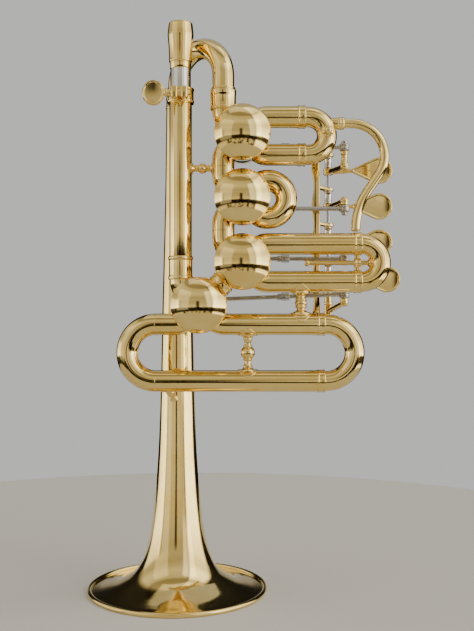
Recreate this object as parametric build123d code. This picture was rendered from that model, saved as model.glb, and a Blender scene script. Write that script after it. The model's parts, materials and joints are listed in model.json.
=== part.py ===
"""Piccolo trumpet with four rotary valves, standing on its bell rim, in millimetres.

X runs along the valve slides, Y from the valve caps to the levers, Z up along the bell.
The origin is the centre of the bell rim, on the plane that the rim rests on.
Each function below makes one piece or one group of like pieces.
"""
from build123d import *
import os
from math import asin, cos, pi, radians, sin, sqrt

# Bell
BELL_RIM_RADIUS = 50.5
BELL_WALL = 0.7
BELL_TOP = 270.0
RIM_BEAD_RADIUS = 1.35
RIM_BEAD_HEIGHT = 1.25
RIM_WIRE_RADIUS = 0.7
RIM_WIRE_GAP = 0.05
# Outside of the bell: (radius, height), from the tail down to the rim bead.
BELL_OUTLINE = [
    (6.4, 270), (7.05, 220), (8.5, 163), (9.7, 107), (11.0, 73), (14.0, 40),
    (17.6, 22.5), (23.5, 11), (33.0, 4.6), (42.0, 1.9), (48.6, 0.95),
]

# Valves: rotor axes run along Y. Valves 1 to 3 stand in a column, valve 4 is one diagonal step down.
SLIDE_PLANE_Y = -24.0
VALVE_X = 36.3
VALVE_TOP_Z = 250.8
VALVE_PITCH = 34.1
VALVE_4_STEP = 22.9
VALVES = [(VALVE_X, VALVE_TOP_Z - VALVE_PITCH * row) for row in range(3)]
VALVES.append((VALVE_X - VALVE_4_STEP, VALVE_TOP_Z - 2 * VALVE_PITCH - VALVE_4_STEP))
CASING_RADIUS = 13.4
CASING_BORE = 11.85
CASING_FRONT = -36.0
CASING_BACK = -12.4
CASING_FLOOR = 1.6
ROTOR_RADIUS = 11.8
ROTOR_FRONT = -33.4
ROTOR_BACK = -14.1
PASSAGE_RADIUS = 4.6
SPINDLE_RADIUS = 3.0
SPINDLE_GAP = 0.05
BEARING_PLATE_BACK = -33.6
CAP_RADIUS = 14.9
CAP_APEX = -43.3
CAP_SKIRT_BACK = -31.2
CAP_WALL = 1.0

# Tubes
MAIN_RADIUS = 6.0
MAIN_BORE = 5.3
LEADPIPE_RADIUS = 6.1
LEADPIPE_BORE = 5.55
SLIDE_RADIUS = 5.8
SLIDE_BORE = 5.44
CROOK_RADIUS = 5.4
CROOK_BORE = 4.9
FERRULE_RADIUS = 6.25
FERRULE_LENGTH = 4.3
PORT_OFFSET = 10.2
KNUCKLE_RADIUS = 8.0
SQUARE_ROOT_HALF = sqrt(0.5)
PORT_REACH = PORT_OFFSET / SQUARE_ROOT_HALF - KNUCKLE_RADIUS * (1 / SQUARE_ROOT_HALF - 1)
KNUCKLE_END = (PORT_REACH + KNUCKLE_RADIUS) * SQUARE_ROOT_HALF
MAIN_X = VALVE_X - PORT_OFFSET
LEADPIPE_X = VALVES[3][0] - PORT_OFFSET

# Bow over the top
BOW_SEAT_Z = 270.0
BOW_CROWN_Z = 300.6
BOW_VALVE_RADIUS = 5.9
BOW_CROWN_RADIUS = 5.6
BOW_BELL_RADIUS = 5.3
BOW_WALL = 0.6

# Leadpipe end
CLAMP_BOTTOM = 268.0
CLAMP_TOP = 276.0
CLAMP_RADIUS = 7.4
CLAMP_SPLIT = 1.6
CLAMP_SCREW_Y = -34.2
CLAMP_SCREW_Z = 271.6
TUNING_TUBE_RADIUS = 5.5
TUNING_TUBE_BOTTOM = 240.0
RECEIVER_BOTTOM = 286.5
RECEIVER_TOP = 311.5
SOCKET_RADIUS = 4.9
SOCKET_DEPTH = 12.0

# Slides: where each crook's bend is centred along X, and where its outer tubes end.
SLIDE_1_BEND_X = 71.6
SLIDE_1_MOUTH_X = 70.3
SLIDE_2_BEND_X = 49.9
SLIDE_3_BEND_X = 100.6
SLIDE_3_MOUTH_X = 100.4
SLIDE_4_BEND_X = 81.5
SLIDE_4_MOUTH_X = 80.8
SLIDE_4_SPACING = 30.4
RETURN_BEND_X = -10.3
LEG_INSERTION = {1: 18.5, 3: 30.0, 4: 34.0}

# Levers and linkage
AXLE_X = 86.0
AXLE_Y = 11.0
AXLE_RADIUS = 1.0
AXLE_GAP = 0.05
AXLE_BOTTOM = 150.5
AXLE_TOP = 249.0
LEVER_Z = [237.0, 216.6, 196.0, 175.0]
LEVER_ANGLE = 20.0
LINK_X = 93.0
LINK_Y = -8.5
LINK_Z = [247.62, 213.52, 185.78, 166.0]
LINK_ARM_Z = [237.0, 217.95, 196.0, 161.4]
LEVER_4_FOOT_Z = 156.8
PIN_OFFSET = 3.18
PIN_SIDE = [-1, -1, 1, 1]
PIN_RADIUS = 1.2
PADDLE_X = 114.6
PADDLE_4_SHIFT = 4.5
PADDLE_RADIUS = 7.5
PADDLE_BACK = 7.6
PADDLE_THICKNESS = 1.8
LUG_Z = [246.6, 226.8, 206.3, 185.6, 152.4]
RAIL_X = 78.0
RAIL_BACK = 0.0
RAIL_FRONT = -3.0
RAIL_HALF_WIDTH = 2.0


# ---- Shape helpers ----

def rod(start, end, radius):
    """A round bar between two points."""
    along = Vector(*end) - Vector(*start)
    bar = Cylinder(radius, along.length, align=(Align.CENTER, Align.CENTER, Align.MIN))
    return Plane(origin=start, z_dir=along) * bar


def sleeve(start, end, outer, inner):
    """A straight tube between two points."""
    return rod(start, end, outer) - rod(start, end, inner)


def pipe(path, outer, inner=0):
    """A tube, or a bar where inner is 0, along a centreline."""
    ring = Circle(outer)
    if inner:
        ring -= Circle(inner)
    return sweep(Plane(origin=path @ 0, z_dir=path % 0) * ring, path=path)


def slab(sketch, y_front, y_back):
    """A sketch drawn in X and Z, made solid from y_front to y_back."""
    return extrude(Plane.XZ.offset(-y_back) * sketch, amount=y_back - y_front)


def plate(sketch, z_bottom, z_top):
    """A sketch drawn in X and Y, made solid from z_bottom to z_top."""
    return extrude(Plane.XY.offset(z_bottom) * sketch, amount=z_top - z_bottom)


def disc(x, z, radius, y_front, y_back):
    """A round disc or shaft along Y."""
    return slab(Pos(x, z) * Circle(radius), y_front, y_back)


def hull_of(circles):
    """The outline round several circles, each (x, y, radius)."""
    edges = []
    for x, y, radius in circles:
        edges += (Pos(x, y) * Circle(radius)).edges()
    return make_hull(edges)


def turned(origin, direction, profile):
    """A turned piece: profile lists (radius, distance along the direction)."""
    axis_points = [(0, profile[0][1])] + list(profile) + [(0, profile[-1][1])]
    outline = make_face(Polyline(*axis_points, close=True))
    solid = revolve(Plane.XZ * outline, axis=Axis.Z)
    return Plane(origin=origin, z_dir=direction) * solid


def ball(point, radius):
    return Pos(*point) * Sphere(radius)


def post_with_ball(start, end, radius, ball_radius, flange_radius, flange_thickness):
    """A turned brace: a thin post with a round flange at each end and a ball in the middle."""
    along = Vector(*end) - Vector(*start)
    length = along.length
    outline = Pos(0, length / 2) * (Rectangle(2 * radius, length) + Circle(ball_radius))
    for place in (flange_thickness / 2, length - flange_thickness / 2):
        outline += Pos(0, place) * Rectangle(2 * flange_radius, flange_thickness)
    half = outline & (Pos(length, length / 2) * Rectangle(2 * length, 2 * length))
    brace = revolve(Plane.XZ * half, axis=Axis.Z)
    return Plane(origin=start, z_dir=along) * brace


# ---- Tube centrelines ----

def valve_centre(valve):
    x, z = VALVES[valve]
    return Vector(x, SLIDE_PLANE_Y, z)


def port_curve(valve, side, up, leg_end, leg_along_x):
    """From inside a casing's port, round the 45 degree knuckle and straight on to leg_end."""
    centre = valve_centre(valve)
    diagonal = Vector(side, 0, up).normalized()
    bend_start = centre + diagonal * PORT_REACH
    if leg_along_x:
        bend_end = centre + Vector(side * KNUCKLE_END, 0, up * PORT_OFFSET)
        leg_stop = Vector(leg_end, SLIDE_PLANE_Y, bend_end.Z)
    else:
        bend_end = centre + Vector(side * PORT_OFFSET, 0, up * KNUCKLE_END)
        leg_stop = Vector(bend_end.X, SLIDE_PLANE_Y, leg_end)
    entry = centre + diagonal * (ROTOR_RADIUS / 2)
    knuckle = TangentArc(bend_start, bend_end, tangent=diagonal)
    return Line(entry, bend_start) + knuckle + Line(bend_end, leg_stop)


def crook_curve(leg_x, bend_x, z_top, z_bottom, side=1):
    """Two parallel legs from leg_x, joined by a half turn centred on bend_x."""
    radius = (z_top - z_bottom) / 2
    y = SLIDE_PLANE_Y
    far = (bend_x + side * radius, y, (z_top + z_bottom) / 2)
    bend = ThreePointArc((bend_x, y, z_top), far, (bend_x, y, z_bottom))
    top_leg = Line((leg_x, y, z_top), (bend_x, y, z_top))
    bottom_leg = Line((bend_x, y, z_bottom), (leg_x, y, z_bottom))
    return top_leg + bend + bottom_leg


def casing_envelope(valve):
    """The space inside a casing's outer surface."""
    x, z = VALVES[valve]
    return disc(x, z, CASING_RADIUS, CASING_FRONT, CASING_BACK)


def port_tube(valve, side, up, leg_end, leg_along_x, outer, inner):
    """A knuckle and its leg, cut to sit on the casing."""
    tube = pipe(port_curve(valve, side, up, leg_end, leg_along_x), outer, inner)
    return tube - casing_envelope(valve)


def leg_heights(valve):
    """Heights of the upper and lower slide legs of valves 1 to 3."""
    z = VALVES[valve][1]
    return z + PORT_OFFSET, z - PORT_OFFSET


# ---- Bell and bow ----

def bell_edges():
    outer = Spline(*[(radius, height) for radius, height in BELL_OUTLINE])
    samples = 16
    inner_points = []
    for step in range(samples + 1):
        point = outer @ (step / samples)
        tangent = outer % (step / samples)
        inner_points.append((point.X + tangent.Y * BELL_WALL, point.Y - tangent.X * BELL_WALL))
    return outer, Spline(*inner_points)


def bell():
    """Flared tube of one wall thickness, with a rolled bead round the rim."""
    outer, inner = bell_edges()
    wall = make_face(outer + Line(outer @ 1, inner @ 1) + inner + Line(inner @ 0, outer @ 0))
    flare = revolve(Plane.XZ * wall, axis=Axis.Z)
    bead_place = Pos(0, 0, RIM_BEAD_HEIGHT)
    bead_ring_radius = BELL_RIM_RADIUS - RIM_BEAD_RADIUS
    bead = bead_place * Torus(bead_ring_radius, RIM_BEAD_RADIUS)
    bead -= Pos(0, 0, -BELL_RIM_RADIUS) * Cylinder(2 * BELL_RIM_RADIUS, 2 * BELL_RIM_RADIUS)
    hollow = bead_place * Torus(bead_ring_radius, RIM_WIRE_RADIUS + RIM_WIRE_GAP)
    return flare + bead - hollow


def bell_rim_wire():
    return Pos(0, 0, RIM_BEAD_HEIGHT) * Torus(BELL_RIM_RADIUS - RIM_BEAD_RADIUS, RIM_WIRE_RADIUS)


def bell_core():
    """The whole space inside the bell's outer surface, for cutting brace feet to it."""
    outer, _ = bell_edges()
    top = outer @ 0
    rim = outer @ 1
    face = make_face(outer + Polyline((rim.X, rim.Y), (0, rim.Y), (0, top.Y), (top.X, top.Y)))
    return revolve(Plane.XZ * face, axis=Axis.Z)


def bell_bow():
    """Tapered tube over the top, from the bell's tail forward to valve 1."""
    bell_end = Vector(0, 0, BOW_SEAT_Z)
    valve_end = Vector(MAIN_X, SLIDE_PLANE_Y, BOW_SEAT_Z)
    radius = (valve_end - bell_end).length / 2
    spring_line = Vector(0, 0, BOW_CROWN_Z - radius - BOW_SEAT_Z)
    crown = (bell_end + valve_end) / 2 + Vector(0, 0, BOW_CROWN_Z - BOW_SEAT_Z)
    rise = Line(bell_end, bell_end + spring_line)
    arch = ThreePointArc(bell_end + spring_line, crown, valve_end + spring_line)
    fall = Line(valve_end + spring_line, valve_end)
    across = (valve_end - bell_end).normalized()

    def tapered(shrink):
        bell_side = Plane(origin=bell_end + spring_line, z_dir=(0, 0, 1)) * Circle(BOW_BELL_RADIUS - shrink)
        top = Plane(origin=crown, z_dir=across) * Circle(BOW_CROWN_RADIUS - shrink)
        valve_place = Plane(origin=valve_end + spring_line, z_dir=(0, 0, -1))
        valve_side = valve_place * Circle(BOW_VALVE_RADIUS - shrink)
        curved = sweep([bell_side, top, valve_side], path=arch, multisection=True)
        return curved + pipe(rise, BOW_BELL_RADIUS - shrink) + pipe(fall, BOW_VALVE_RADIUS - shrink)

    return tapered(0) - tapered(BOW_WALL)


def bow_ferrules():
    """A turned ring at each end of the bow."""
    valve_ring = turned((MAIN_X, SLIDE_PLANE_Y, 0), (0, 0, 1), [
        (6.7, 264.4), (7.1, 264.9), (7.1, 275.2), (6.6, 276.8),
    ]) - casing_envelope(0)
    seat = (MAIN_X, SLIDE_PLANE_Y, BOW_SEAT_Z)
    valve_ring -= rod((MAIN_X, SLIDE_PLANE_Y, 260), seat, MAIN_RADIUS)
    valve_ring -= rod(seat, (MAIN_X, SLIDE_PLANE_Y, 280), BOW_VALVE_RADIUS)
    bell_ring = turned((0, 0, 0), (0, 0, 1), [(6.4, BELL_TOP), (6.7, 270.6), (6.6, 276.5), (5.6, 281.5)])
    bell_ring -= rod((0, 0, 265), (0, 0, 285), BOW_BELL_RADIUS)
    return [valve_ring, bell_ring]


# ---- Leadpipe, tuning tube and clamp ----

def leadpipe_point(z):
    return (LEADPIPE_X, SLIDE_PLANE_Y, z)


def leadpipe():
    return sleeve(leadpipe_point(180), leadpipe_point(CLAMP_TOP), LEADPIPE_RADIUS, LEADPIPE_BORE)


def leadpipe_elbow():
    return port_tube(3, -1, 1, 180, False, MAIN_RADIUS, MAIN_BORE)


def joint_ferrules():
    """Sleeves over the leadpipe's foot and over the diagonal tube between valves 4 and 3."""
    foot = turned(leadpipe_point(0), (0, 0, 1), [
        (6.45, 173.4), (6.75, 173.9), (6.75, 175.2), (6.45, 175.8),
        (6.45, 183.8), (6.75, 184.4), (6.75, 185.7), (6.4, 186.2),
    ])
    foot -= rod(leadpipe_point(170), leadpipe_point(180), MAIN_RADIUS)
    foot -= rod(leadpipe_point(180), leadpipe_point(190), LEADPIPE_RADIUS)
    foot -= casing_envelope(3)
    low = valve_centre(3)
    high = valve_centre(2)
    middle = (low + high) / 2
    along = (high - low).normalized()
    collar = sleeve(middle - along * 2.2, middle + along * 2.2, 6.8, MAIN_RADIUS)
    return [foot, collar]


def clamp_screw_point(x):
    return (x, CLAMP_SCREW_Y, CLAMP_SCREW_Z)


def clamp_ring():
    """A split ring on the leadpipe's mouth, with two ears for the thumb screw."""
    ring = sleeve(leadpipe_point(CLAMP_BOTTOM), leadpipe_point(CLAMP_TOP), CLAMP_RADIUS, LEADPIPE_RADIUS)
    ear_depth = SLIDE_PLANE_Y - LEADPIPE_RADIUS - CLAMP_SCREW_Y + 3.0
    ears = Box(2 * CLAMP_SPLIT + 5.6, ear_depth, CLAMP_TOP - CLAMP_BOTTOM - 1)
    ears = Pos(LEADPIPE_X, SLIDE_PLANE_Y - LEADPIPE_RADIUS - ear_depth / 2, CLAMP_SCREW_Z) * ears
    clamp = ring + ears
    clamp -= rod(leadpipe_point(CLAMP_BOTTOM - 1), leadpipe_point(CLAMP_TOP + 1), LEADPIPE_RADIUS)
    split = Box(CLAMP_SPLIT, 12, 12)
    clamp -= Pos(LEADPIPE_X, SLIDE_PLANE_Y - LEADPIPE_RADIUS - 5.5, CLAMP_SCREW_Z) * split
    return clamp - rod(clamp_screw_point(LEADPIPE_X - 10), clamp_screw_point(LEADPIPE_X + 10), 1.55)


def thumb_screw():
    """Screw along X with an oval plate to turn it by."""
    left = -16.4
    oval = slab(Pos(left + 5.8, CLAMP_SCREW_Z) * Ellipse(6.0, 6.8), CLAMP_SCREW_Y - 0.8, CLAMP_SCREW_Y + 0.8)
    oval = fillet(oval.edges(), 0.5)
    shank = rod(clamp_screw_point(left + 8), clamp_screw_point(LEADPIPE_X + 5.6), 1.5)
    collar = rod(clamp_screw_point(left + 11), clamp_screw_point(LEADPIPE_X - 4.5), 2.3)
    return oval + shank + collar


def tuning_tube():
    bottom = leadpipe_point(TUNING_TUBE_BOTTOM)
    top = leadpipe_point(RECEIVER_BOTTOM)
    return sleeve(bottom, top, TUNING_TUBE_RADIUS, SOCKET_RADIUS - 0.2)


def receiver():
    """Mouthpiece receiver: a turned socket with a rounded lip."""
    body = turned(leadpipe_point(0), (0, 0, 1), [
        (5.75, RECEIVER_BOTTOM), (5.85, 290), (6.25, 290.4), (6.25, 294), (6.4, 298), (6.8, 302),
        (7.0, 304.5), (6.8, 306.5), (6.1, 307.6), (6.0, 308.6), (6.35, 309.4), (6.35, 310.8),
        (6.0, RECEIVER_TOP),
    ])
    socket_floor = leadpipe_point(RECEIVER_TOP - SOCKET_DEPTH)
    body -= rod(socket_floor, leadpipe_point(RECEIVER_TOP), SOCKET_RADIUS)
    return body - rod(leadpipe_point(RECEIVER_BOTTOM), socket_floor, SOCKET_RADIUS - 0.6)


# ---- Valves ----

def valve_casing(valve):
    """Open cylinder with a floor at the back, four ports and a bearing hole."""
    x, z = VALVES[valve]
    casing = casing_envelope(valve) - disc(x, z, CASING_BORE, CASING_FRONT, CASING_BACK - CASING_FLOOR)
    casing -= disc(x, z, SPINDLE_RADIUS + SPINDLE_GAP, CASING_BACK - CASING_FLOOR, CASING_BACK)
    centre = valve_centre(valve)
    for side in (-1, 1):
        for up in (-1, 1):
            outward = Vector(side, 0, up).normalized()
            casing -= rod(centre + outward * 8, centre + outward * 16, PASSAGE_RADIUS)
    return casing


def valve_cap(valve):
    """Domed screw cap with a hollow inside and a skirt over the casing."""
    x, z = VALVES[valve]
    apex = -CAP_APEX
    front = -CASING_FRONT
    sag = apex - front
    dome_radius = (CAP_RADIUS ** 2 + sag ** 2) / (2 * sag)
    hollow_radius = dome_radius - CAP_WALL - 0.4
    dome_centre = apex - dome_radius
    skirt = rod((x, CAP_SKIRT_BACK, z), (x, CASING_FRONT, z), CAP_RADIUS)
    dome = Pos(x, -dome_centre, z) * Sphere(dome_radius)
    dome &= rod((x, CASING_FRONT, z), (x, CAP_APEX - 1, z), CAP_RADIUS)
    hollow = Pos(x, -dome_centre, z) * Sphere(hollow_radius)
    hollow &= rod((x, CASING_FRONT, z), (x, CAP_APEX, z), CASING_BORE)
    skirt_hollow = rod((x, CAP_SKIRT_BACK, z), (x, CASING_FRONT, z), CASING_RADIUS + 0.02)
    cap = skirt + dome - hollow - skirt_hollow
    back_edges = cap.edges().filter_by(GeomType.CIRCLE).group_by(Axis.Y)[-1].sort_by(SortBy.RADIUS)[-1]
    return chamfer(back_edges, 0.4)


def bearing_plate(valve):
    """Front bearing: a disc with a boss round the rotor's front spindle."""
    x, z = VALVES[valve]
    disc_part = disc(x, z, CASING_BORE, CASING_FRONT, BEARING_PLATE_BACK)
    boss = disc(x, z, 5.0, CASING_FRONT - 1.2, CASING_FRONT)
    hole = disc(x, z, SPINDLE_RADIUS + SPINDLE_GAP, CASING_FRONT - 0.6, BEARING_PLATE_BACK)
    return disc_part + boss - hole


def rotor(valve):
    """Rotor with two curved passages, its spindles and the spigot for the stop arm."""
    x, z = VALVES[valve]
    body = disc(x, z, ROTOR_RADIUS, ROTOR_FRONT, ROTOR_BACK)
    body += disc(x, z, SPINDLE_RADIUS, CASING_FRONT - 0.4, ROTOR_FRONT)
    body += disc(x, z, SPINDLE_RADIUS, ROTOR_BACK, CASING_BACK + 0.2)
    body += disc(x, z, 1.8, CASING_BACK + 0.2, -10.6)
    arc_centre = ROTOR_RADIUS * sqrt(2)
    for side in (-1, 1):
        if valve < 3:
            place = Vector(x + side * arc_centre, SLIDE_PLANE_Y, z)
        else:
            place = Vector(x, SLIDE_PLANE_Y, z + side * arc_centre)
        body -= Plane(origin=place, z_dir=(0, 1, 0)) * Torus(ROTOR_RADIUS, PASSAGE_RADIUS)
    return body


def stop_arm(valve):
    """Arm on the rotor's tail: a pin for the link rod, a lug that lands on the corks, and a screw."""
    x, z = VALVES[valve]
    up = PIN_SIDE[valve]
    pin_x = x - PIN_OFFSET
    pin_z = z + up * PIN_OFFSET
    lug_reach = 8.6 * SQUARE_ROOT_HALF
    outline = hull_of([(x, z, 3.8), (pin_x, pin_z, 2.0)]) + hull_of([
        (x, z, 2.6), (x + lug_reach, z - up * lug_reach, 1.1),
    ])
    arm = slab(outline, CASING_BACK + 0.25, -10.6) - disc(x, z, 1.8, CASING_BACK, -10.6)
    arm += disc(pin_x, pin_z, PIN_RADIUS, -10.7, -6.9)
    arm_screw = disc(x, z, 2.3, -10.6, -9.95)
    arm_screw -= Pos(x, -9.95, z) * Box(5, 0.6, 0.6)
    pin_screw = disc(pin_x, pin_z, 1.9, -6.9, -6.2)
    pin_screw -= Pos(pin_x, -6.2, pin_z) * Box(5, 0.6, 0.5)
    return [arm, arm_screw, pin_screw]


def stop_corks(valve):
    """Two cork bumpers on the casing's back, on either side of the stop lug's path."""
    x, z = VALVES[valve]
    up = PIN_SIDE[valve]
    corks = []
    for side in (-1, 1):
        angle = radians(26.0)
        cork_x = x + side * 8.5 * cos(angle)
        cork_z = z - up * 8.5 * sin(angle)
        corks.append(disc(cork_x, cork_z, 1.4, CASING_BACK, -10.5))
    return corks


# ---- Tubes between the valves ----

def valve_link(lower, upper):
    """Tube on the left of the column, from one valve up to the next."""
    middle = (VALVES[lower][1] + VALVES[upper][1]) / 2
    return port_tube(lower, -1, 1, middle, False, MAIN_RADIUS, MAIN_BORE) + port_tube(
        upper, -1, -1, middle, False, MAIN_RADIUS, MAIN_BORE
    )


def diagonal_link():
    tube = sleeve(valve_centre(3), valve_centre(2), MAIN_RADIUS, MAIN_BORE)
    return tube - casing_envelope(3) - casing_envelope(2)


def valve_outlet():
    return port_tube(0, -1, 1, BOW_SEAT_Z, False, MAIN_RADIUS, MAIN_BORE)


# ---- Slides ----

def slide_tubes(valve, mouth_x):
    """The two fixed outer tubes of a slide on valves 1 and 3."""
    return [port_tube(valve, 1, up, mouth_x, True, SLIDE_RADIUS, SLIDE_BORE) for up in (1, -1)]


def slide_4_heights():
    upper = VALVES[3][1] - PORT_OFFSET
    return upper, upper - SLIDE_4_SPACING


def slide_4_tubes():
    _, lower = slide_4_heights()
    y = SLIDE_PLANE_Y
    return [
        port_tube(3, 1, -1, SLIDE_4_MOUTH_X, True, SLIDE_RADIUS, SLIDE_BORE),
        sleeve((RETURN_BEND_X, y, lower), (SLIDE_4_MOUTH_X, y, lower), SLIDE_RADIUS, SLIDE_BORE),
    ]


def slide_4_return_bow():
    """From valve 4 to the left, and round into the lower leg."""
    upper, lower = slide_4_heights()
    y = SLIDE_PLANE_Y
    far = (RETURN_BEND_X - SLIDE_4_SPACING / 2, y, (upper + lower) / 2)
    bend = ThreePointArc((RETURN_BEND_X, y, upper), far, (RETURN_BEND_X, y, lower))
    leg = port_tube(3, -1, -1, RETURN_BEND_X, True, SLIDE_RADIUS, SLIDE_BORE)
    return leg + pipe(bend, SLIDE_RADIUS, SLIDE_BORE)


def slide_2_bow():
    """Fixed loop of valve 2, too short for a sliding leg."""
    top, bottom = leg_heights(1)
    y = SLIDE_PLANE_Y
    far = (SLIDE_2_BEND_X + PORT_OFFSET, y, VALVES[1][1])
    bend = ThreePointArc((SLIDE_2_BEND_X, y, top), far, (SLIDE_2_BEND_X, y, bottom))
    loop = pipe(bend, SLIDE_RADIUS, SLIDE_BORE)
    for up in (1, -1):
        loop += port_tube(1, 1, up, SLIDE_2_BEND_X, True, SLIDE_RADIUS, SLIDE_BORE)
    return loop


def crook(number, bend_x, z_top, z_bottom):
    """The sliding part: two inner legs and a half turn."""
    leg_x = bend_x - LEG_INSERTION[number]
    return pipe(crook_curve(leg_x, bend_x, z_top, z_bottom), CROOK_RADIUS, CROOK_BORE)


def slide_ferrules():
    """A ring round each outer tube's mouth."""
    rings = []
    places = [(SLIDE_1_MOUTH_X, z) for z in leg_heights(0)]
    places += [(SLIDE_3_MOUTH_X, z) for z in leg_heights(2)]
    places += [(SLIDE_4_MOUTH_X, z) for z in slide_4_heights()]
    y = SLIDE_PLANE_Y
    for mouth_x, z in places:
        ring = turned((mouth_x - FERRULE_LENGTH, y, z), (1, 0, 0), [
            (FERRULE_RADIUS - 0.2, 0), (FERRULE_RADIUS, 0.3), (FERRULE_RADIUS, FERRULE_LENGTH - 0.5),
            (FERRULE_RADIUS - 0.3, FERRULE_LENGTH),
        ])
        rings.append(ring - rod((mouth_x - FERRULE_LENGTH, y, z), (mouth_x, y, z), SLIDE_RADIUS))
    return rings


def slide_1_knob():
    """Round boss and ball on the front of crook 1."""
    x = SLIDE_1_BEND_X + PORT_OFFSET
    z = VALVES[0][1] + 1.5
    knob = turned((x, SLIDE_PLANE_Y, z), (0, -1, 0), [
        (3.2, 4.0), (3.2, 6.2), (2.6, 6.6), (1.2, 6.8), (1.2, 7.6),
    ]) + ball((x, SLIDE_PLANE_Y - 8.8, z), 2.1)
    return knob - crook_space(SLIDE_1_BEND_X, *leg_heights(0))


def crook_space(bend_x, z_top, z_bottom):
    """The space inside a crook's outer surface."""
    return pipe(crook_curve(bend_x - 5, bend_x, z_top, z_bottom), CROOK_RADIUS)


def slide_1_grip_rod():
    """S-shaped rod that crook 1 is drawn by: a collar on the crook, then a curve in and down."""
    y = SLIDE_PLANE_Y
    start_z = 257.5
    radius = 2.5
    foot_x = 97.3
    corners = [(80, y, start_z), (128.2, y, start_z), (foot_x, y, 211.7), (foot_x, y, 199.5)]
    grip = pipe(FilletPolyline(*corners, radius=[17.5, 35.0]), radius)
    grip += turned((0, y, start_z), (1, 0, 0), [
        (3.0, 80), (3.0, 87.8), (3.4, 88.2), (3.4, 90.4), (3.0, 90.8), (2.6, 91.2),
    ])
    return grip - crook_space(SLIDE_1_BEND_X, *leg_heights(0))


def slide_3_stop_rod():
    """Rod fixed inside crook 3 that runs through the bridge and ends in a stop."""
    y = SLIDE_PLANE_Y
    z = VALVES[2][1]
    rod_end = SLIDE_3_BEND_X + PORT_OFFSET
    stop = rod((70, y, z), (rod_end, y, z), 1.2) + rod((70, y, z), (72, y, z), 1.9)
    stop += rod((104.0, y, z), (rod_end, y, z), 2.4)
    return stop - crook_space(SLIDE_3_BEND_X, *leg_heights(2))


def slide_3_bridge():
    """Cross bar between the ferrules of slide 3, bored for the stop rod."""
    y = SLIDE_PLANE_Y
    z = VALVES[2][1]
    bar = Pos(98.2, y, z) * Box(3.0, 3.4, 2 * PORT_OFFSET) + rod((96.4, y, z), (100.0, y, z), 2.8)
    for leg in leg_heights(2):
        bar -= rod((90, y, leg), (105, y, leg), FERRULE_RADIUS)
    return bar - rod((90, y, z), (105, y, z), 1.25)


# ---- Braces ----

def leadpipe_brace():
    z = 233.3
    y = SLIDE_PLANE_Y
    brace = post_with_ball((LEADPIPE_X + 5.2, y, z), (MAIN_X - 5.0, y, z), 1.3, 2.8, 3.1, 1.9)
    brace -= rod(leadpipe_point(z - 9), leadpipe_point(z + 9), LEADPIPE_RADIUS)
    return brace - rod((MAIN_X, y, z - 9), (MAIN_X, y, z + 9), MAIN_RADIUS)


def bell_braces():
    """Braces from the bell to the lower leg of slide 4 and to the leadpipe."""
    y = SLIDE_PLANE_Y
    _, lower = slide_4_heights()
    leg_foot = (-4.7, y, lower - 4.6)
    bell_foot = (-1.3, -8.4, 108.0)
    low = post_with_ball(leg_foot, bell_foot, 1.3, 2.6, 3.4, 2.2)
    low -= rod((-20, y, lower), (20, y, lower), SLIDE_RADIUS)
    high_z = 210.0
    high = post_with_ball((LEADPIPE_X, y + 5, high_z), (0.8, -6.2, high_z), 1.3, 2.4, 3.1, 2.0)
    high -= rod(leadpipe_point(high_z - 9), leadpipe_point(high_z + 9), LEADPIPE_RADIUS)
    core = bell_core()
    return [low - core, high - core]


def slide_4_brace():
    """Turned baluster between the two legs of slide 4."""
    upper, lower = slide_4_heights()
    x = 39.3
    y = SLIDE_PLANE_Y
    bottom = lower + 5.0
    middle = (upper + lower) / 2
    height = middle - bottom
    half = [
        (5.4, -height), (5.4, 1.5 - height), (3.4, 2.2 - height), (1.9, 3.4 - height), (1.6, -4.6),
        (2.3, -3.6), (3.4, -2.2), (3.75, 0),
    ]
    profile = half + [(radius, -distance) for radius, distance in reversed(half[:-1])]
    brace = turned((x, y, middle), (0, 0, 1), profile)
    for leg in (upper, lower):
        brace -= rod((x - 9, y, leg), (x + 9, y, leg), SLIDE_RADIUS)
    return brace


def slide_brace_34():
    """Turned spool between slide 3 and slide 4."""
    x = 67.9
    y = SLIDE_PLANE_Y
    top_leg = leg_heights(2)[1]
    bottom_leg = slide_4_heights()[0]
    middle = (top_leg + bottom_leg) / 2
    half = [(5.8, -6.6), (5.8, -4.4), (4.2, -3.9), (2.2, -3.0), (2.2, -2.3), (3.1, -1.2), (3.3, 0)]
    profile = half + [(radius, -distance) for radius, distance in reversed(half[:-1])]
    brace = turned((x, y, middle), (0, 0, 1), profile)
    for leg in (top_leg, bottom_leg):
        brace -= rod((x - 9, y, leg), (x + 9, y, leg), SLIDE_RADIUS)
    return brace


# ---- Levers and linkage ----

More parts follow.
